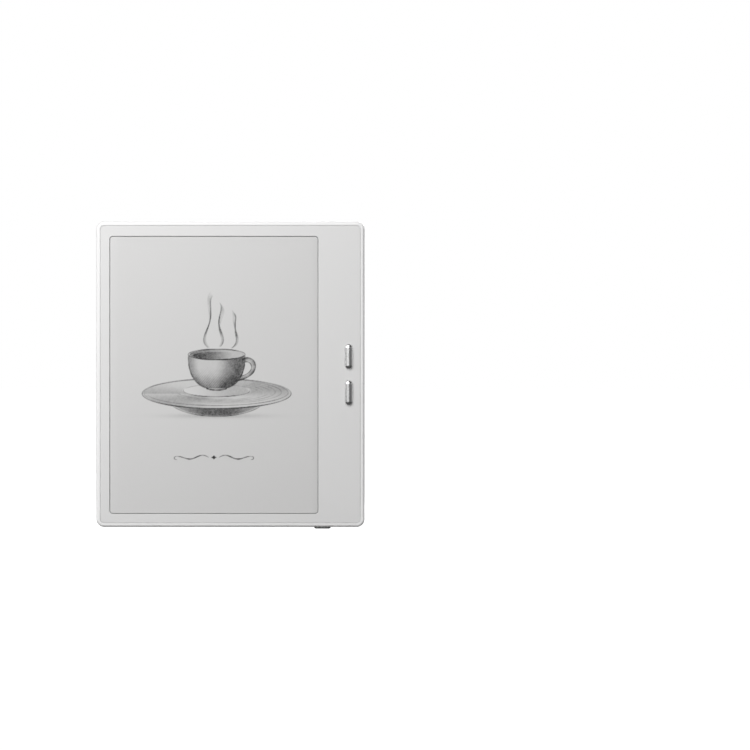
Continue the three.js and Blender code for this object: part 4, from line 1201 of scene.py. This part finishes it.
def make_floor():
    """A plain pale floor. It looks near white, but throws little light back at the reader, and it
    is clear from underneath, so that the bottom edge can be seen."""
    r = FLOOR_REACH
    floor = solid([(-r, -r, 0), (r, -r, 0), (r, r, 0), (-r, r, 0)], [(0, 1, 2, 3)])
    floor.name = "floor"
    floor.data.transform(Matrix.Scale(MM, 4))
    material = bpy.data.materials.new("pale_floor")
    material.use_nodes = True
    n = Nodes(material.node_tree)

    def even(level, kind="ShaderNodeBsdfDiffuse"):
        return n.add(kind, {"Color": (level, level, level, 1)}).outputs[0]

    path = n.add("ShaderNodeLightPath").outputs
    glow = even(FLOOR_GLOW, "ShaderNodeEmission")
    seen = n.add("ShaderNodeAddShader", {0: glow, 1: even(FLOOR_TONE)}).outputs[0]
    unseen = n.choose(path["Is Glossy Ray"], even(FLOOR_DIM), even(FLOOR_MIRRORED))
    above = n.choose(path["Is Camera Ray"], unseen, seen)
    underneath = n.add("ShaderNodeNewGeometry").outputs["Backfacing"]
    clear = n.add("ShaderNodeBsdfTransparent").outputs[0]
    n.add("ShaderNodeOutputMaterial", {"Surface": n.choose(underneath, above, clear)})
    floor.data.materials.append(material)


def softbox(name, x, y, watts):
    """A wide light above the reader's middle, tipped down at it, in metres."""
    width, height, up = 0.8, 0.4, 0.46
    light = bpy.data.lights.new(name, "AREA")
    light.shape = "RECTANGLE"
    light.size, light.size_y = width, height
    light.energy = watts
    obj = bpy.data.objects.new(name, light)
    obj.location = (x, y, up)
    aim = Vector((x, 0, (BODY.top + BODY.bottom) / 2 * MM)) - obj.location
    obj.rotation_mode = "QUATERNION"
    obj.rotation_quaternion = aim.to_track_quat("-Z", "Y")
    obj.visible_camera = False
    bpy.context.scene.collection.objects.link(obj)


def make_camera():
    camera = bpy.data.objects.new("camera", bpy.data.cameras.new("camera"))
    camera.data.lens, camera.data.sensor_width = LENS, SENSOR
    distance = VIEW_WIDTH * LENS / SENSOR
    level = (BODY.top + BODY.bottom) / 2 - CAMERA_DROP
    camera.location = (CAMERA_RIGHT * MM, (FRONT - distance) * MM, level * MM)
    camera.rotation_euler = (math.radians(90), 0, 0)
    camera.data.clip_end = 200
    bpy.context.scene.collection.objects.link(camera)
    bpy.context.scene.camera = camera


# ---------------------------------------------------------------- the scene

make_camera()
dress_frame()
make_shell()
make_bezel()
make_back_panels()
make_screen()
make_page_keys()
make_power_key()
make_usb()
make_tongue()
make_tray()
make_floor()
softbox("front_key", -0.33, -0.54, FRONT_WATTS)
softbox("back_key", 0.36, 0.56, BACK_WATTS)
sky()
bpy.context.scene.view_settings.view_transform = "Standard"
